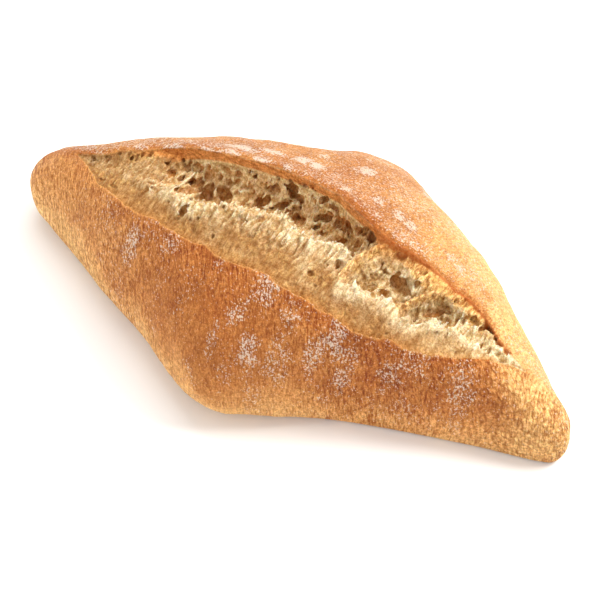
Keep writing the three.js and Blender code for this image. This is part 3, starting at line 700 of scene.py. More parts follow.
me = make_mesh("bread_roll_looks", verts, quads)
roll = bpy.data.objects.new("bread_roll_looks", me)
bpy.context.scene.collection.objects.link(roll)

dep = depth_below_crust(verts)
yfv, ybv = front_lip(verts[:, 0]), back_lip(verts[:, 0])
inspan = (verts[:, 0] > SLASH_LEFT - 1) & (verts[:, 0] < SLASH_RIGHT + 1) & (verts[:, 2] > 15)
lipd = np.minimum(np.abs(verts[:, 1] - yfv), np.abs(verts[:, 1] - ybv))
fine_zone = (dep > 0.3) | (inspan & (lipd < 1.2) & (verts[:, 2] > dome(verts[:, 0], verts[:, 1]) - 3))
crust_quads = (~fine_zone[quads]).all(1).sum()
fine_tris = 2 * (len(quads) - crust_quads)
crust_aim = max(20000, min(CRUST_TRIS, MOST_TRIS - fine_tris))
total_aim = fine_tris + crust_aim
print("fine triangles", fine_tris, "crust aim", crust_aim)
group = roll.vertex_groups.new(name="crust")
group.add(np.nonzero(~fine_zone)[0].tolist(), 1.0, "REPLACE")
tri = roll.modifiers.new("tri", "TRIANGULATE")
dec = roll.modifiers.new("thin", "DECIMATE")
dec.ratio = total_aim / (2 * len(quads))
dec.vertex_group = "crust"
dec.vertex_group_factor = 1.0
bpy.context.view_layer.update()
deps = bpy.context.evaluated_depsgraph_get()
thin = bpy.data.meshes.new_from_object(roll.evaluated_get(deps))
roll.modifiers.clear()
roll.vertex_groups.clear()
old = roll.data
roll.data = thin
thin.name = "bread_roll_looks"
bpy.data.meshes.remove(old)
me = roll.data
if len(me.polygons) > 199000:
    dec = roll.modifiers.new("thin2", "DECIMATE")
    dec.ratio = 197000 / len(me.polygons)
    bpy.context.view_layer.update()
    deps = bpy.context.evaluated_depsgraph_get()
    thin = bpy.data.meshes.new_from_object(roll.evaluated_get(deps))
    roll.modifiers.clear()
    roll.data = thin
    me = thin
print("triangles", len(me.polygons))
me.polygons.foreach_set("use_smooth", np.ones(len(me.polygons), bool))

# ---------------------------------------------------------------- attributes for the finish
co = np.zeros(len(me.vertices) * 3, np.float32)
me.vertices.foreach_get("co", co)
P = co.reshape(-1, 3).astype(float) * 1000 - np.array([SHIFT_X, SHIFT_Y, 0.0])
nrm = np.zeros(len(me.vertices) * 3, np.float32)
me.vertex_normals.foreach_get("vector", nrm)
N = nrm.reshape(-1, 3)
x, y, z = P[:, 0], P[:, 1], P[:, 2]
dep = depth_below_crust(P)
yfv, ybv = front_lip(x), back_lip(x)
tv = (y - yfv) / np.maximum(ybv - yfv, 0.6)
in_plan = (z > 15) & (x > SLASH_LEFT) & (x < SLASH_RIGHT)
crumb_a = np.maximum(smooth(0.25, 0.8, dep), in_plan * smooth(0.0, 0.25, y - yfv) * smooth(0.0, 0.25, ybv - y))

ed = np.zeros(len(me.edges) * 2, np.int32)
me.edges.foreach_get("vertices", ed)
ed = ed.reshape(-1, 2)
EA, EB = np.concatenate([ed[:, 0], ed[:, 1]]), np.concatenate([ed[:, 1], ed[:, 0]])
valence = np.maximum(np.bincount(EA, minlength=len(P)), 1)


def neighbours(v):
    if v.ndim == 1:
        return np.bincount(EA, v[EB], len(P)) / valence
    return np.stack([np.bincount(EA, v[EB, k], len(P)) / valence for k in range(3)], 1)


# how far the surface lies below its own smoothed shape, in mm: small pits, then larger ones
smoothed = P.copy()
hollow = []
for k in range(1, 41):
    smoothed = 0.4 * smoothed + 0.6 * neighbours(smoothed)
    if k in (3, 40):
        hollow.append(((smoothed - P) * N).sum(1))
# these pit values paint light and shade: torn tips lightened as a painted highlight, small and larger pits darkened as
# painted shade
pit_small = neighbours(np.clip(hollow[0] / 0.16, -1, 1))
pit_large = neighbours(neighbours(np.clip(hollow[1] / 1.1, -1, 1)))
below = np.zeros(len(P))
m = in_slash(P)
below[m] = -field_at(SMOOTH_REM, P[m], np.array([bx[0], by[0], bz[0]]))  # negative under the smooth torn surface
# holes below the smooth torn surface turn browner: partly browner crumb walls, partly painted shade
cavity_tone_and_shade = smooth(0.5, 3.2, -below) * crumb_a
cavity_tone_and_shade = np.maximum(cavity_tone_and_shade, 0)
# painted fill light: crumb far below the crust is made lighter, standing in for light on the shaded back wall
deep = smooth(3.0, 9.0, dep) * crumb_a
is_front = y < (yfv + ybv) / 2
lu = np.where(is_front, x + (y - yfv) * 0.60, x - (y - ybv) * 0.25)
lv = np.where(is_front, yfv - y, y - ybv) + np.maximum(0, 40 - z) * 0.8

# how strongly the crust is baked: deepest along the front lip and the back lip's edge, palest low on the right flank.
# The value also carries painted light: crust facing the key light and crust low down are made paler, so the paleness
# there is partly paler bake and partly painted light
lipf = np.exp(-np.maximum(0, yfv - y) / 9.0) * (y < yfv + 0.5) * smooth(SLASH_LEFT, -20, x)
lipf = lipf * (1 + 0.42 * np.exp(-(((x - 36) / 19) ** 2)))
lipb = np.exp(-np.maximum(0, y - ybv) / 2.0) * (y > ybv - 2.5) * (0.35 + 0.65 * smooth(-12, 8, x))
# painted highlight: a thin light gold line along the front lip's edge and the left part of the back lip's edge
edge = (0.75 * np.exp(-(((y - yfv + 0.15) / 0.36) ** 2)) * smooth(SLASH_LEFT, -66, x) * (1 - smooth(40, 56, x)) + 0.25 * np.exp(-(((y - ybv) / 0.45) ** 2)) * smooth(-70, -60, x) * (1 - smooth(4, 14, x))) * (z > 15)
# painted light: the next lines mark crust facing the key light (the right flank, the right tip's right-facing side);
# the bake is lowered there, and on back-facing slopes, so these read lighter as if lit
key_facing_flank = smooth(0.15, 0.8, N[:, 0] * 0.75 + N[:, 1] * 0.55) * smooth(0, 40, x)
tip_r = smooth(45, 72, x)
key_facing_tip = smooth(-0.35, 0.55, N[:, 0]) * tip_r
bake_and_light = 0.42 + 0.29 * lipf + 0.40 * lipb * (1 - 0.45 * smooth(14, 30, x)) - 0.42 * key_facing_flank - 0.10 * smooth(0.2, 0.9, N[:, 1]) + 0.05 * tip_r * smooth(0.1, 0.7, -N[:, 1]) - 0.46 * key_facing_tip * smooth(-0.95, -0.35, N[:, 1])
# first term: crust low down made paler, partly paler bake, partly painted bounce light from the floor
bake_and_light -= 0.46 * (1 - smooth(0, 23, z)) * (1 - 0.5 * key_facing_flank) + 0.10 * (1 - smooth(-80, -55, x)) * (y < yfv) + 0.40 * smooth(64, 78, x)
bake_and_light += 0.11 * np.exp(-(((x + 2) / 22) ** 2)) * np.exp(-(((z - 32) / 9) ** 2)) * (y < yfv) + 0.09 * smooth(ybv, ybv + 3, y) * (1 - smooth(8, 30, x))
bake_and_light += 0.08 * noise(x / 14.0, y / 14.0, z / 14.0, 101) + 0.07 * noise(x / 5.0, y / 5.0, z / 5.0, 102)
bake_and_light = np.clip(bake_and_light, 0, 1)

# baked skin on the crumb: golden in the front strip, brown on the inner face of the back lip
ridge_v = along(RIDGE, x)
skin = (1 - smooth(0.35, 1.0, tv / np.maximum(ridge_v, 0.2))) + 0.75 * (1 - smooth(-52, -30, x)) + (0.30 + 0.30 * smooth(12, 20, x)) * smooth(0.72, 0.95, tv) * smooth(ridge_v, ridge_v + 0.1, tv)
skin = np.clip(skin * (1 - 0.35 * smooth(34, 56, x)) + 0.14 * noise(x / 4.0, y / 4.0, z / 4.0, 103), 0, 1)
inner = smooth(0.88, 0.97, tv) * (1 - smooth(4.0, 5.2, dep)) * smooth(-62, -48, x) * (1 - 0.75 * smooth(16, 26, x))
foot = smooth(4.2, 5.8, dep)
# painted highlight: a light golden line at the foot of the back lip's inner face, where the crumb wall begins
rim_highlight = 4 * foot * (1 - foot) * smooth(0.86, 0.93, tv) * smooth(-46, -38, x) * (1 - smooth(8, 16, x)) * crumb_a
fin = np.zeros(len(P))
m = in_slash(P)
fi = np.clip(((P[m, 0] - bx[0]) / VOX + 0.5).astype(int), 0, len(bx) - 1)
fj = np.clip(((P[m, 1] - by[0]) / VOX + 0.5).astype(int), 0, len(by) - 1)
fin[m] = np.exp(-((FIN_NEAR[fi, fj] / 1.3) ** 2)) * (1 - smooth(3.0, 6.0, dep[m]))
band_v = along(BAND, np.clip(x, BAND[0][0], BAND[-1][0]))
fin = np.maximum(fin, 1.0 * smooth(band_v - 0.05, band_v + 0.02, tv) * smooth(12, 20, x) * (1 - smooth(50, 62, x)) * (1 - smooth(2.6, 4.6, dep))) * crumb_a
# painted shade in the depths between the torn walls: centre X, Y, Z and reach
SHADE_SPOTS = [(18.6, -5.4, 35.8, 3.2), (21.4, -2.6, 35.8, 3.0), (24.2, -0.8, 35.8, 2.6), (27.2, 0.4, 35.6, 2.6), (30.3, 0.4, 34.6, 3.4), (36.5, -2.7, 31.6, 2.8), (39.0, -0.6, 31.2, 3.2), (42.2, 1.8, 30.8, 3.0), (-32.3, 3.8, 31.0, 3.4), (-28.8, 5.4, 32.0, 2.8), (17.4, 7.0, 39.0, 2.4)]
shade = np.zeros(len(P))
for cx_, cy_, cz_, cr_ in SHADE_SPOTS:
    q = np.sqrt((x - cx_) ** 2 + (y - cy_) ** 2 + ((z - cz_) / 1.3) ** 2) / cr_
    shade = np.maximum(shade, np.exp(-q ** 2))
shade = np.clip(shade + 0.35 * (shade > 0.05) * noise(x / 1.4, y / 1.4, z / 1.4, 117), 0, 1) * crumb_a
# the same mask also darkens the front skin strip a little around x = -20
shade = np.maximum(shade, 0.24 * np.exp(-(((x + 20) / 10) ** 2)) * np.exp(-(((tv - 0.20) / 0.14) ** 2)) * (1 + noise(x / 2.2, y / 2.2, z / 2.2, 118)) * crumb_a)
cream = np.exp(-(((tv - ridge_v) / 0.13) ** 2)) * smooth(-4, 14, x) * (1 - smooth(3.0, 5.0, dep)) * crumb_a
# dark red-brown line in the crease under the back lip's right part: partly the browner fold, partly painted shade under
# the lip
crease_tone_and_shade = np.exp(-(((y - ybv + 0.10) / 0.40) ** 2)) * smooth(14, 24, x) * (1 - smooth(60, 66, x)) * (z > 15)
lip_glow = np.exp(-np.maximum(0, y - yfv) / 1.6) * (y > yfv - 0.3) * crumb_a * smooth(-66, -50, x)
skin = np.clip(skin + 0.10 * noise(x / 4.0, y / 4.0, z / 4.0, 103), 0, 1)

# flour: patches on the crust (centre X, Y, Z, half widths along X and across, strength), and a light dusting elsewhere
FLOUR = [
    (-68.9, 2.3, 28.5, 3.4, 2.2, 0.50), (-57.3, 7.6, 32.3, 3.1, 2.0, 0.60), (-47.6, 9.0, 36.8, 4.0, 2.2, 0.70), (-36.9, 9.3, 41.5, 4.7, 2.4, 0.80),
    (1.8, 29.0, 36.8, 3.2, 3.4, 0.80), (0.3, 42.8, 26.9, 2.2, 1.7, 0.75), (-2.0, 37.9, 31.0, 1.9, 1.4, 0.65), (-10.2, 27.7, 37.0, 2.7, 2.0, 0.75),
    (17.8, 38.0, 26.3, 3.2, 3.4, 0.80), (17.7, 27.1, 35.5, 1.9, 1.4, 0.55), (18.3, 18.5, 40.1, 3.0, 2.7, 0.80), (23.4, 16.8, 39.6, 1.9, 2.4, 0.75),
    (13.5, 41.1, 24.9, 1.9, 2.0, 0.65), (35.7, 17.2, 35.0, 2.2, 2.0, 0.60), (39.7, 15.6, 33.8, 2.2, 1.7, 0.65), (32.2, 40.5, 11.7, 2.7, 3.7, 0.45),
    (-9.4, 39.6, 28.8, 4.1, 1.4, 0.50), (-20.8, 31.9, 31.3, 5.4, 1.4, 0.60), (-30.2, 16.3, 40.8, 6.8, 1.6, 0.95), (-45.1, 14.0, 35.9, 5.4, 1.0, 0.65),
    (-55.2, 14.1, 30.3, 4.1, 1.0, 0.65), (-30.2, 11.9, 43.5, 4.1, 1.3, 0.85), (-21.8, 13.0, 44.7, 3.5, 1.4, 0.85), (-13.1, 13.6, 45.0, 1.9, 1.6, 0.75),
    (-21.7, 19.5, 40.4, 4.6, 2.0, 0.85), (-12.8, 20.2, 41.3, 3.0, 2.8, 0.95), (-7.9, 20.4, 41.6, 3.0, 2.4, 0.95), (-1.2, 19.8, 42.1, 2.2, 1.7, 0.65),
    (4.5, 16.0, 43.9, 2.4, 1.7, 0.80), (11.7, 19.2, 41.1, 2.2, 2.0, 0.75), (27.6, 33.6, 26.1, 2.7, 3.4, 0.45), (15.2, 11.9, 44.0, 1.6, 1.4, 0.45),
    (-40.9, -22.0, 30.5, 3.1, 6.3, 0.80), (-37.5, -16.9, 37.0, 4.0, 4.6, 0.45), (-50.6, -16.1, 31.1, 3.4, 5.5, 0.40), (-5.0, -36.9, 29.1, 1.9, 5.1, 0.70),
    (-1.6, -30.9, 35.5, 3.1, 4.6, 0.70), (4.5, -35.3, 27.5, 3.4, 5.1, 0.80), (11.7, -32.0, 26.7, 4.0, 7.9, 0.60), (11.8, -25.2, 37.0, 5.3, 4.2, 0.70),
    (20.0, -26.1, 30.1, 3.1, 6.7, 0.70), (24.4, -21.8, 34.6, 3.7, 5.1, 0.80), (26.6, -24.1, 18.8, 1.9, 4.2, 0.80), (23.4, -29.9, 11.9, 2.2, 3.8, 0.60),
    (7.2, -37.9, 13.0, 3.1, 4.6, 0.50), (29.0, -22.1, 28.4, 2.5, 5.5, 0.60), (55.2, -11.8, 23.6, 5.3, 9.9, 0.60), (43.7, -14.8, 29.7, 6.2, 5.5, 0.55),
    (38.6, -18.7, 22.8, 4.0, 4.2, 0.70), (35.3, -23.0, 11.6, 3.4, 3.8, 0.60), (41.3, -17.8, 16.5, 3.1, 4.2, 0.40), (-17.2, -31.1, 31.9, 2.8, 6.3, 0.40),
    (-27.7, -27.2, 31.5, 2.8, 6.3, 0.35), (55.9, -15.2, 10.7, 2.5, 3.8, 0.50), (43.4, -18.5, 11.3, 4.0, 3.4, 0.50), (0.7, -39.8, 21.3, 2.8, 4.2, 0.50),
    (-43.0, -25.7, 15.4, 2.1, 3.2, 0.55), (-28.0, -20.6, 37.9, 3.6, 3.9, 0.60), (-12.6, -22.3, 40.3, 2.4, 3.5, 0.55), (3.0, -23.4, 40.2, 5.0, 4.6, 0.75),
    (-50.6, -22.1, 17.5, 1.2, 2.5, 0.45), (-26.0, -34.0, 17.4, 1.2, 2.5, 0.45), (-9.1, -41.7, 18.1, 2.4, 3.5, 0.50), (-53.5, -12.7, 32.2, 3.9, 3.5, 0.40),
    (46.6, -12.1, 30.8, 3.6, 3.2, 0.60), (55.1, -5.8, 29.7, 2.4, 2.1, 0.60), (56.8, -10.9, 23.7, 3.3, 3.5, 0.60), (51.7, -14.7, 15.9, 2.4, 4.6, 0.50),
]
flour = 0.07 + 0.18 * noise(x / 9.0, y / 9.0, z / 9.0, 111) + 0.24 * np.exp(-np.maximum(0, yfv - y) / 7.0) * (y < yfv) * smooth(-30, 10, x)
flour += (0.28 + 0.22 * np.exp(-np.maximum(0, y - ybv) / 6.0)) * smooth(ybv, ybv + 2.5, y) * (1 - 0.5 * smooth(30, 55, x))
flour += 0.16 * smooth(-60, -45, x) * (1 - smooth(-30, -15, x)) * np.exp(-np.maximum(0, yfv - y) / 8.0) * (y < yfv)
edge_n = 0.35 * noise(x / 1.8, y / 1.8, z / 1.8, 113) + 0.25 * noise(x / 4.0, y / 4.0, z / 4.0, 114)
for fx_, fy_, fz_, frx, fry, fs_ in FLOUR:
    q = np.sqrt(((x - fx_) / frx) ** 2 + ((y - fy_) / fry) ** 2 + ((z - fz_) / (fry * 1.5)) ** 2)
    flour = np.maximum(flour, fs_ * (1.35 if fy_ > 0 else 1.0) * smooth(0, 1, 1.35 - q + edge_n))
flour = np.clip(flour, 0, 1.35) * (1 - crumb_a) * smooth(1.0, 4.0, z)


def put(name, values):
    a = me.attributes.new(name, "FLOAT", "POINT")
    a.data.foreach_set("value", np.asarray(values, np.float32))


for name, values in (("crumb", crumb_a), ("cavity_tone_and_shade", cavity_tone_and_shade), ("deep", deep), ("bake_and_light", bake_and_light), ("skin", skin), ("inner", inner * crumb_a), ("flour", flour), ("lu", lu), ("lv", lv), ("low", 1 - smooth(0.3, 3.0, z)), ("pit_s_shade_highlight", 0.5 + 0.5 * pit_small), ("pit_l_shade", 0.5 + 0.5 * pit_large), ("edge", edge), ("streak", np.clip(0.45 + 0.75 * lipf * (y < yfv) + 0.40 * (y < yfv) * (1 - smooth(-50, -15, x)), 0, 1.4)), ("pale_and_lit", crumb_a * smooth(34, 54, x) * (1 - 0.75 * fin)), ("fin", fin), ("rim_highlight", rim_highlight), ("crease_tone_and_shade", crease_tone_and_shade), ("lip_glow", lip_glow), ("behind", smooth(-2, 4, y - ybv)), ("shade", shade), ("cream", cream), ("tip", tip_r * smooth(0.0, 0.5, -N[:, 1] + 0.3) + smooth(70, 78, x))):
    put(name, values)


# ---------------------------------------------------------------- material
mat = bpy.data.materials.new("bread")
mat.use_nodes = True
nt = mat.node_tree
nt.nodes.clear()


def node(kind, **props):
    n = nt.nodes.new(kind)
    for k, v in props.items():
        setattr(n, k, v)
    return n


def link(a, b):
    nt.links.new(a, b)


def attr(name):
    return node("ShaderNodeAttribute", attribute_name=name).outputs["Fac"]


def math_(op, a, b=None, clamp=False):
    n = node("ShaderNodeMath", operation=op, use_clamp=clamp)
    for s, v in ((0, a), (1, b)):
        if v is None:
            continue
        if isinstance(v, (int, float)):
            n.inputs[s].default_value = v
        else:
            link(v, n.inputs[s])
    return n.outputs[0]


def mix(fac, a, b, blend="MIX"):
    n = node("ShaderNodeMix", data_type="RGBA", blend_type=blend)
    for key, v in (("Factor", fac), ("A", a), ("B", b)):
        sock = [s for s in n.inputs if s.name == key and (s.type == ("VALUE" if key == "Factor" else "RGBA"))][0]
        if isinstance(v, (int, float)):
            sock.default_value = v
        elif isinstance(v, tuple):
            sock.default_value = (*v, 1.0) if len(v) == 3 else v
        else:
            link(v, sock)
    return [s for s in n.outputs if s.type == "RGBA"][0]


def ramp(fac, stops):
    n = node("ShaderNodeValToRGB")
    el = n.color_ramp.elements
    while len(el) > 1:
        el.remove(el[-1])
    el[0].position, el[0].color = stops[0][0], (*stops[0][1], 1)
    for p, c in stops[1:]:
        e = el.new(p)
        e.color = (*c, 1)
    link(fac, n.inputs[0])
    return n.outputs[0]


def step(fac, lo, hi):
    n = node("ShaderNodeMapRange", interpolation_type="SMOOTHSTEP")
    n.inputs["From Min"].default_value = lo
    n.inputs["From Max"].default_value = hi
    link(fac, n.inputs["Value"])
    return n.outputs["Result"]


coord = node("ShaderNodeTexCoord").outputs["Object"]


def tex(scale, detail=2.0, rough=0.55, vec=None, dist=0.0):
    n = node("ShaderNodeTexNoise")
    n.inputs["Scale"].default_value = scale
    n.inputs["Detail"].default_value = detail
    n.inputs["Roughness"].default_value = rough
    n.inputs["Distortion"].default_value = dist
    link(vec if vec is not None else coord, n.inputs["Vector"])
    return n.outputs["Fac"]


def combine(a, b, c=0.0):
    n = node("ShaderNodeCombineXYZ")
    for i, v in enumerate((a, b, c)):
        if isinstance(v, (int, float)):
            n.inputs[i].default_value = v
        else:
            link(v, n.inputs[i])
    return n.outputs[0]


A = {k: attr(k) for k in ("crumb", "cavity_tone_and_shade", "deep", "bake_and_light", "skin", "inner", "flour", "lu", "lv", "low", "pit_s_shade_highlight", "pit_l_shade", "tip", "edge", "pale_and_lit", "streak", "fin", "rim_highlight", "crease_tone_and_shade", "lip_glow", "behind", "shade", "cream")}

# stretch wrinkles of the crust run away from the lips: close together along the lip, long down the slope (millimetres)
wr = tex(1.0, 3.0, 0.6, combine(math_("MULTIPLY", A["lu"], 1.30), math_("MULTIPLY", A["lv"], 0.24), 0.0), 0.5)
wr2 = tex(1.0, 2.0, 0.6, combine(math_("MULTIPLY", A["lu"], 2.1), math_("MULTIPLY", A["lv"], 0.70), 3.0), 0.4)
wrinkle = math_("ADD", math_("MULTIPLY", wr, 0.5), math_("MULTIPLY", wr2, 0.5))
grain = tex(1500, 2.0, 0.6)
grain_mid = tex(1000, 3.0, 0.65)
grain_fine = tex(2300, 2.0, 0.7)
blotch = tex(110, 3.0, 0.6)


def cells(scale, rand=1.0):
    n = node("ShaderNodeTexVoronoi", feature="F1")
    n.inputs["Scale"].default_value = scale
    n.inputs["Randomness"].default_value = rand
    link(coord, n.inputs["Vector"])
    return n.outputs["Distance"]


pebble = cells(850)

# crust colour by bake, including the painted light that the bake value carries
crust_col = ramp(A["bake_and_light"], [(0.0, (0.79, 0.460, 0.180)), (0.28, (0.66, 0.316, 0.104)), (0.50, (0.51, 0.198, 0.051)), (0.75, (0.40, 0.125, 0.025)), (1.0, (0.27, 0.068, 0.014))])
crust_col = mix(A["streak"], crust_col, mix(1.0, crust_col, ramp(wrinkle, [(0.41, (0.60, 0.38, 0.22)), (0.5, (1.0, 0.97, 0.93)), (0.58, (1.30, 1.42, 1.55))]), "MULTIPLY"))
crust_col = mix(1.0, crust_col, ramp(grain_mid, [(0.41, (0.86, 0.80, 0.73)), (0.5, (1, 1, 1)), (0.59, (1.12, 1.14, 1.14))]), "MULTIPLY")
crust_col = mix(1.0, crust_col, ramp(grain_fine, [(0.38, (0.84, 0.74, 0.60)), (0.5, (1, 1, 1)), (0.62, (1.12, 1.18, 1.26))]), "MULTIPLY")
crust_col = mix(1.0, crust_col, ramp(blotch, [(0.36, (0.92, 0.89, 0.84)), (0.5, (1, 1, 1)), (0.66, (1.06, 1.07, 1.06))]), "MULTIPLY")
crust_col = mix(A["tip"], crust_col, mix(1.0, crust_col, ramp(pebble, [(0.0, (1.22, 1.24, 1.22)), (0.35, (1.02, 1.0, 0.98)), (0.7, (0.72, 0.64, 0.56))]), "MULTIPLY"))
# flour dust: single grains and small clumps, denser in the patches
dust_front = math_("ADD", math_("MULTIPLY", grain, 0.36), math_("ADD", math_("MULTIPLY", grain_fine, 0.34), math_("MULTIPLY", wr2, 0.30)))
dust_back = math_("ADD", math_("MULTIPLY", grain, 0.45), math_("MULTIPLY", grain_fine, 0.55))
dust_n = math_("ADD", math_("MULTIPLY", dust_front, math_("SUBTRACT", 1.0, A["behind"])), math_("MULTIPLY", dust_back, A["behind"]))
dust_t = math_("SUBTRACT", dust_n, math_("SUBTRACT", math_("SUBTRACT", 0.596, math_("MULTIPLY", A["behind"], 0.016)), math_("MULTIPLY", A["flour"], 0.150)))
dust = step(dust_t, 0.0, 0.070)
# painted highlight: light gold line along the lip edges
crust_col = mix(math_("MULTIPLY", A["edge"], 0.70), crust_col, (0.84, 0.45, 0.14))
crust_col = mix(math_("MULTIPLY", dust, 0.72), crust_col, (0.84, 0.72, 0.60))

# crumb colour: golden skin in front, torn tips lightened as a painted highlight, pits and hollows darkened as painted
# shade (the holes partly also browner crumb)
fib_sep = node("ShaderNodeSeparateXYZ")
link(coord, fib_sep.inputs[0])
fibre_tone = tex(1.0, 3.0, 0.65, combine(math_("MULTIPLY", fib_sep.outputs[0], 1300.0), math_("MULTIPLY", fib_sep.outputs[1], 380.0), math_("MULTIPLY", fib_sep.outputs[2], 700.0)), 0.5)
crumb_tone = tex(330, 3.0, 0.65)
crumb_base = ramp(crumb_tone, [(0.38, (0.57, 0.370, 0.155)), (0.50, (0.71, 0.520, 0.270)), (0.62, (0.87, 0.73, 0.47))])
skin_col = ramp(crumb_tone, [(0.36, (0.33, 0.150, 0.046)), (0.50, (0.420, 0.208, 0.069)), (0.64, (0.54, 0.300, 0.105))])
crumb_col = mix(A["skin"], crumb_base, skin_col)
crumb_col = mix(math_("MULTIPLY", A["lip_glow"], 0.65), crumb_col, (0.62, 0.262, 0.062))
# painted highlight on the torn tips that stand proud of the smoothed shape, then painted shade in the small pits
tip_highlight = step(A["pit_s_shade_highlight"], 0.48, 0.16)
crumb_col = mix(math_("MULTIPLY", tip_highlight, 0.65), crumb_col, mix(A["skin"], (0.96, 0.87, 0.63), (0.70, 0.43, 0.155)))
crumb_col = mix(math_("MULTIPLY", step(A["pit_s_shade_highlight"], 0.52, 0.88), 0.60), crumb_col, (0.42, 0.195, 0.055))
# painted shade in the larger hollows
crumb_col = mix(math_("MULTIPLY", step(A["pit_l_shade"], 0.60, 1.0), 0.45), crumb_col, (0.58, 0.240, 0.060))
# holes: partly browner crumb, partly painted shade
crumb_col = mix(math_("MULTIPLY", A["cavity_tone_and_shade"], 0.68), crumb_col, (0.60, 0.285, 0.085))
# right end of the crumb made paler: partly paler, fluffier crumb, partly painted light where the key light falls
# strongest
crumb_col = mix(math_("MULTIPLY", A["pale_and_lit"], 0.55), crumb_col, mix(1.0, crumb_col, (1.30, 1.42, 1.50), "MULTIPLY"))
inner_tone = tex(1.0, 3.0, 0.65, combine(math_("MULTIPLY", fib_sep.outputs[0], 420.0), math_("MULTIPLY", fib_sep.outputs[1], 900.0), math_("MULTIPLY", fib_sep.outputs[2], 1300.0)), 0.5)
inner_col = ramp(inner_tone, [(0.40, (0.52, 0.170, 0.034)), (0.6, (0.82, 0.34, 0.092))])
crumb_col = mix(math_("MULTIPLY", A["cream"], 0.50), crumb_col, (0.93, 0.79, 0.54))
crumb_col = mix(math_("MULTIPLY", A["fin"], 0.80), crumb_col, ramp(fibre_tone, [(0.40, (0.55, 0.240, 0.054)), (0.60, (0.90, 0.550, 0.185))]))
# painted shade in the hollows between the torn walls, and the slight darkening of the front skin strip
crumb_col = mix(math_("MULTIPLY", A["shade"], 0.85), crumb_col, mix(1.0, crumb_col, (0.50, 0.42, 0.33), "MULTIPLY"))
# painted fill light: crumb far below the crust lightened
crumb_col = mix(A["deep"], crumb_col, mix(1.0, crumb_col, (1.20, 1.13, 1.04), "MULTIPLY"))
crumb_col = mix(math_("MULTIPLY", A["inner"], 0.9), crumb_col, inner_col)
# painted highlight along the foot of the back lip's inner face
crumb_col = mix(math_("MULTIPLY", A["rim_highlight"], 0.75), crumb_col, (0.93, 0.68, 0.33))
crumb_col = mix(1.0, crumb_col, ramp(grain_mid, [(0.34, (0.80, 0.74, 0.66)), (0.5, (1, 1, 1)), (0.66, (1.14, 1.16, 1.18))]), "MULTIPLY")

crumb_col = mix(1.0, crumb_col, ramp(fibre_tone, [(0.38, (0.80, 0.72, 0.62)), (0.5, (1, 1, 1)), (0.62, (1.14, 1.20, 1.28))]), "MULTIPLY")
crumb_col = mix(1.0, crumb_col, ramp(grain_fine, [(0.38, (0.86, 0.78, 0.68)), (0.5, (1, 1, 1)), (0.62, (1.10, 1.14, 1.20))]), "MULTIPLY")
base = mix(A["crumb"], crust_col, crumb_col)
# crease under the back lip: browner fold with painted shade
base = mix(math_("MULTIPLY", A["crease_tone_and_shade"], 0.80), base, (0.52, 0.130, 0.024))

# bump
crust_h = math_("ADD", math_("MULTIPLY", wrinkle, 1.0), math_("MULTIPLY", grain_mid, 0.9))
crust_h = math_("SUBTRACT", crust_h, math_("MULTIPLY", math_("MULTIPLY", pebble, 0.55), A["tip"]))
crust_h = math_("ADD", math_("ADD", crust_h, math_("MULTIPLY", dust, 0.12)), math_("MULTIPLY", grain_fine, 0.4))
sep = node("ShaderNodeSeparateXYZ")
link(coord, sep.inputs[0])
fib_vec = combine(math_("MULTIPLY", sep.outputs[0], 1150.0), math_("MULTIPLY", sep.outputs[1], 330.0), math_("MULTIPLY", sep.outputs[2], 420.0))
fibre = tex(1.0, 3.0, 0.6, fib_vec, 0.4)
crumb_h = math_("ADD", math_("ADD", math_("MULTIPLY", fibre, 1.6), math_("MULTIPLY", grain_mid, 0.65)), math_("MULTIPLY", grain_fine, 0.5))
crumb_h = math_("ADD", math_("MULTIPLY", crumb_h, math_("SUBTRACT", 1.0, A["inner"])), math_("MULTIPLY", math_("ADD", math_("MULTIPLY", inner_tone, 0.9), math_("MULTIPLY", grain_mid, 0.8)), A["inner"]))
h_mix = node("ShaderNodeMix", data_type="FLOAT")
fl = [s for s in h_mix.inputs if s.type == "VALUE"]
link(A["crumb"], fl[0])
link(crust_h, fl[1])
link(crumb_h, fl[2])
bump = node("ShaderNodeBump")
bump.inputs["Strength"].default_value = 1.0
bump.inputs["Distance"].default_value = 0.0009
link([s for s in h_mix.outputs if s.type == "VALUE"][0], bump.inputs["Height"])

rough = node("ShaderNodeMix", data_type="FLOAT")
fl = [s for s in rough.inputs if s.type == "VALUE"]
link(A["crumb"], fl[0])
fl[1].default_value = 0.62
fl[2].default_value = 0.85

bsdf = node("ShaderNodeBsdfPrincipled")
link(base, bsdf.inputs["Base Color"])
link([s for s in rough.outputs if s.type == "VALUE"][0], bsdf.inputs["Roughness"])
link(bump.outputs[0], bsdf.inputs["Normal"])
bsdf.inputs["Specular IOR Level"].default_value = 0.17
bsdf.inputs["Subsurface Weight"].default_value = 0.28
bsdf.inputs["Subsurface Radius"].default_value = (1.0, 0.45, 0.16)
bsdf.inputs["Subsurface Scale"].default_value = 0.0016
out = node("ShaderNodeOutputMaterial")
link(bsdf.outputs[0], out.inputs["Surface"])
me.materials.clear()
me.materials.append(mat)

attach(roll, "root")
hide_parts("bread_roll")

# ---------------------------------------------------------------- floor and light
scene = bpy.context.scene


def plain(name, colour, rough=0.9):
    m = bpy.data.materials.new(name)
    m.use_nodes = True
    b = m.node_tree.nodes["Principled BSDF"]
    b.inputs["Base Color"].default_value = (*colour, 1)
    b.inputs["Roughness"].default_value = rough
    b.inputs["Specular IOR Level"].default_value = 0.1
    return m


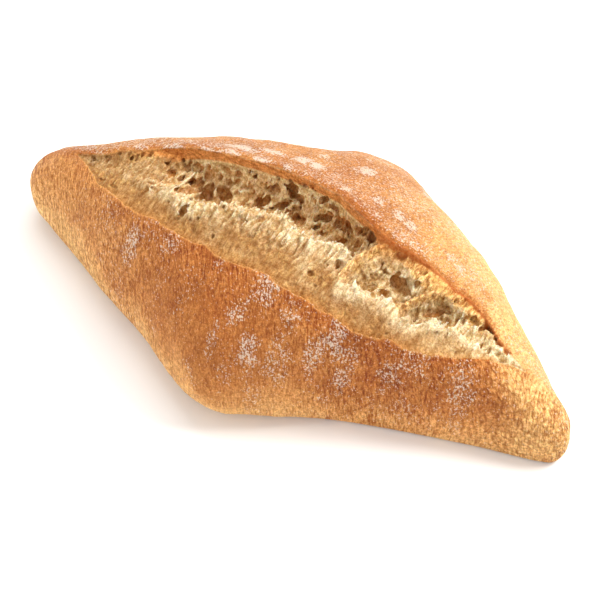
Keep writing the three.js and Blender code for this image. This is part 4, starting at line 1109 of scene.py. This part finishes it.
bpy.ops.mesh.primitive_plane_add(size=6.0, location=(0, 0, -0.0004))
floor = bpy.context.object
floor.name = "floor"
floor.data.materials.append(plain("floor", (0.95, 0.95, 0.945)))

world = bpy.data.worlds.new("studio")
scene.world = world
world.use_nodes = True
world.node_tree.nodes["Background"].inputs[0].default_value = (1, 0.995, 0.985, 1)
world.node_tree.nodes["Background"].inputs[1].default_value = 0.80


def area(name, at, size, power, colour=(1, 1, 1), aim=(0, 0, 0.02)):
    data = bpy.data.lights.new(name, "AREA")
    data.shape = "DISK"
    data.size = size
    data.energy = power
    data.color = colour
    o = bpy.data.objects.new(name, data)
    scene.collection.objects.link(o)
    o.location = at
    o.rotation_euler = (Vector(aim) - Vector(at)).to_track_quat("-Z", "Y").to_euler()
    return o


area("key", (0.60, 0.46, 0.88), 0.50, 11.5, (1.0, 0.975, 0.94))
area("top", (-0.25, 0.35, 1.0), 0.7, 5.0, (1.0, 0.99, 0.97))
area("front", (-0.3, -0.9, 0.5), 0.8, 2.5, (1.0, 0.98, 0.96))

# ---------------------------------------------------------------- camera, at the photograph's viewing angle
AZ, EL, DIST, FOCAL_PX = math.radians(31.98), math.radians(50.0), 0.900, 3336.0
back = Vector((math.sin(AZ) * math.cos(EL), -math.cos(AZ) * math.cos(EL), math.sin(EL)))
right = Vector((math.cos(AZ), math.sin(AZ), 0))
up = back.cross(right)
look = Vector((SHIFT_X, SHIFT_Y, 20.0)) * 0.001
eye = look + back * DIST
px_m = DIST / FOCAL_PX
target = look - right * (2.79 * px_m) - up * (21.19 * px_m)
cam_data = bpy.data.cameras.new("camera")
cam_data.sensor_width = 36.0
cam_data.lens = FOCAL_PX / 600.0 * 36.0
cam_data.clip_start = 0.05
cam_data.clip_end = 20
cam = bpy.data.objects.new("camera", cam_data)
scene.collection.objects.link(cam)
cam.location = eye
cam.rotation_euler = (target - eye).to_track_quat("-Z", "Y").to_euler()
scene.camera = cam

scene.view_settings.view_transform = "Standard"
scene.view_settings.look = "None"
scene.view_settings.exposure = 0.0
scene.view_settings.gamma = 1.0
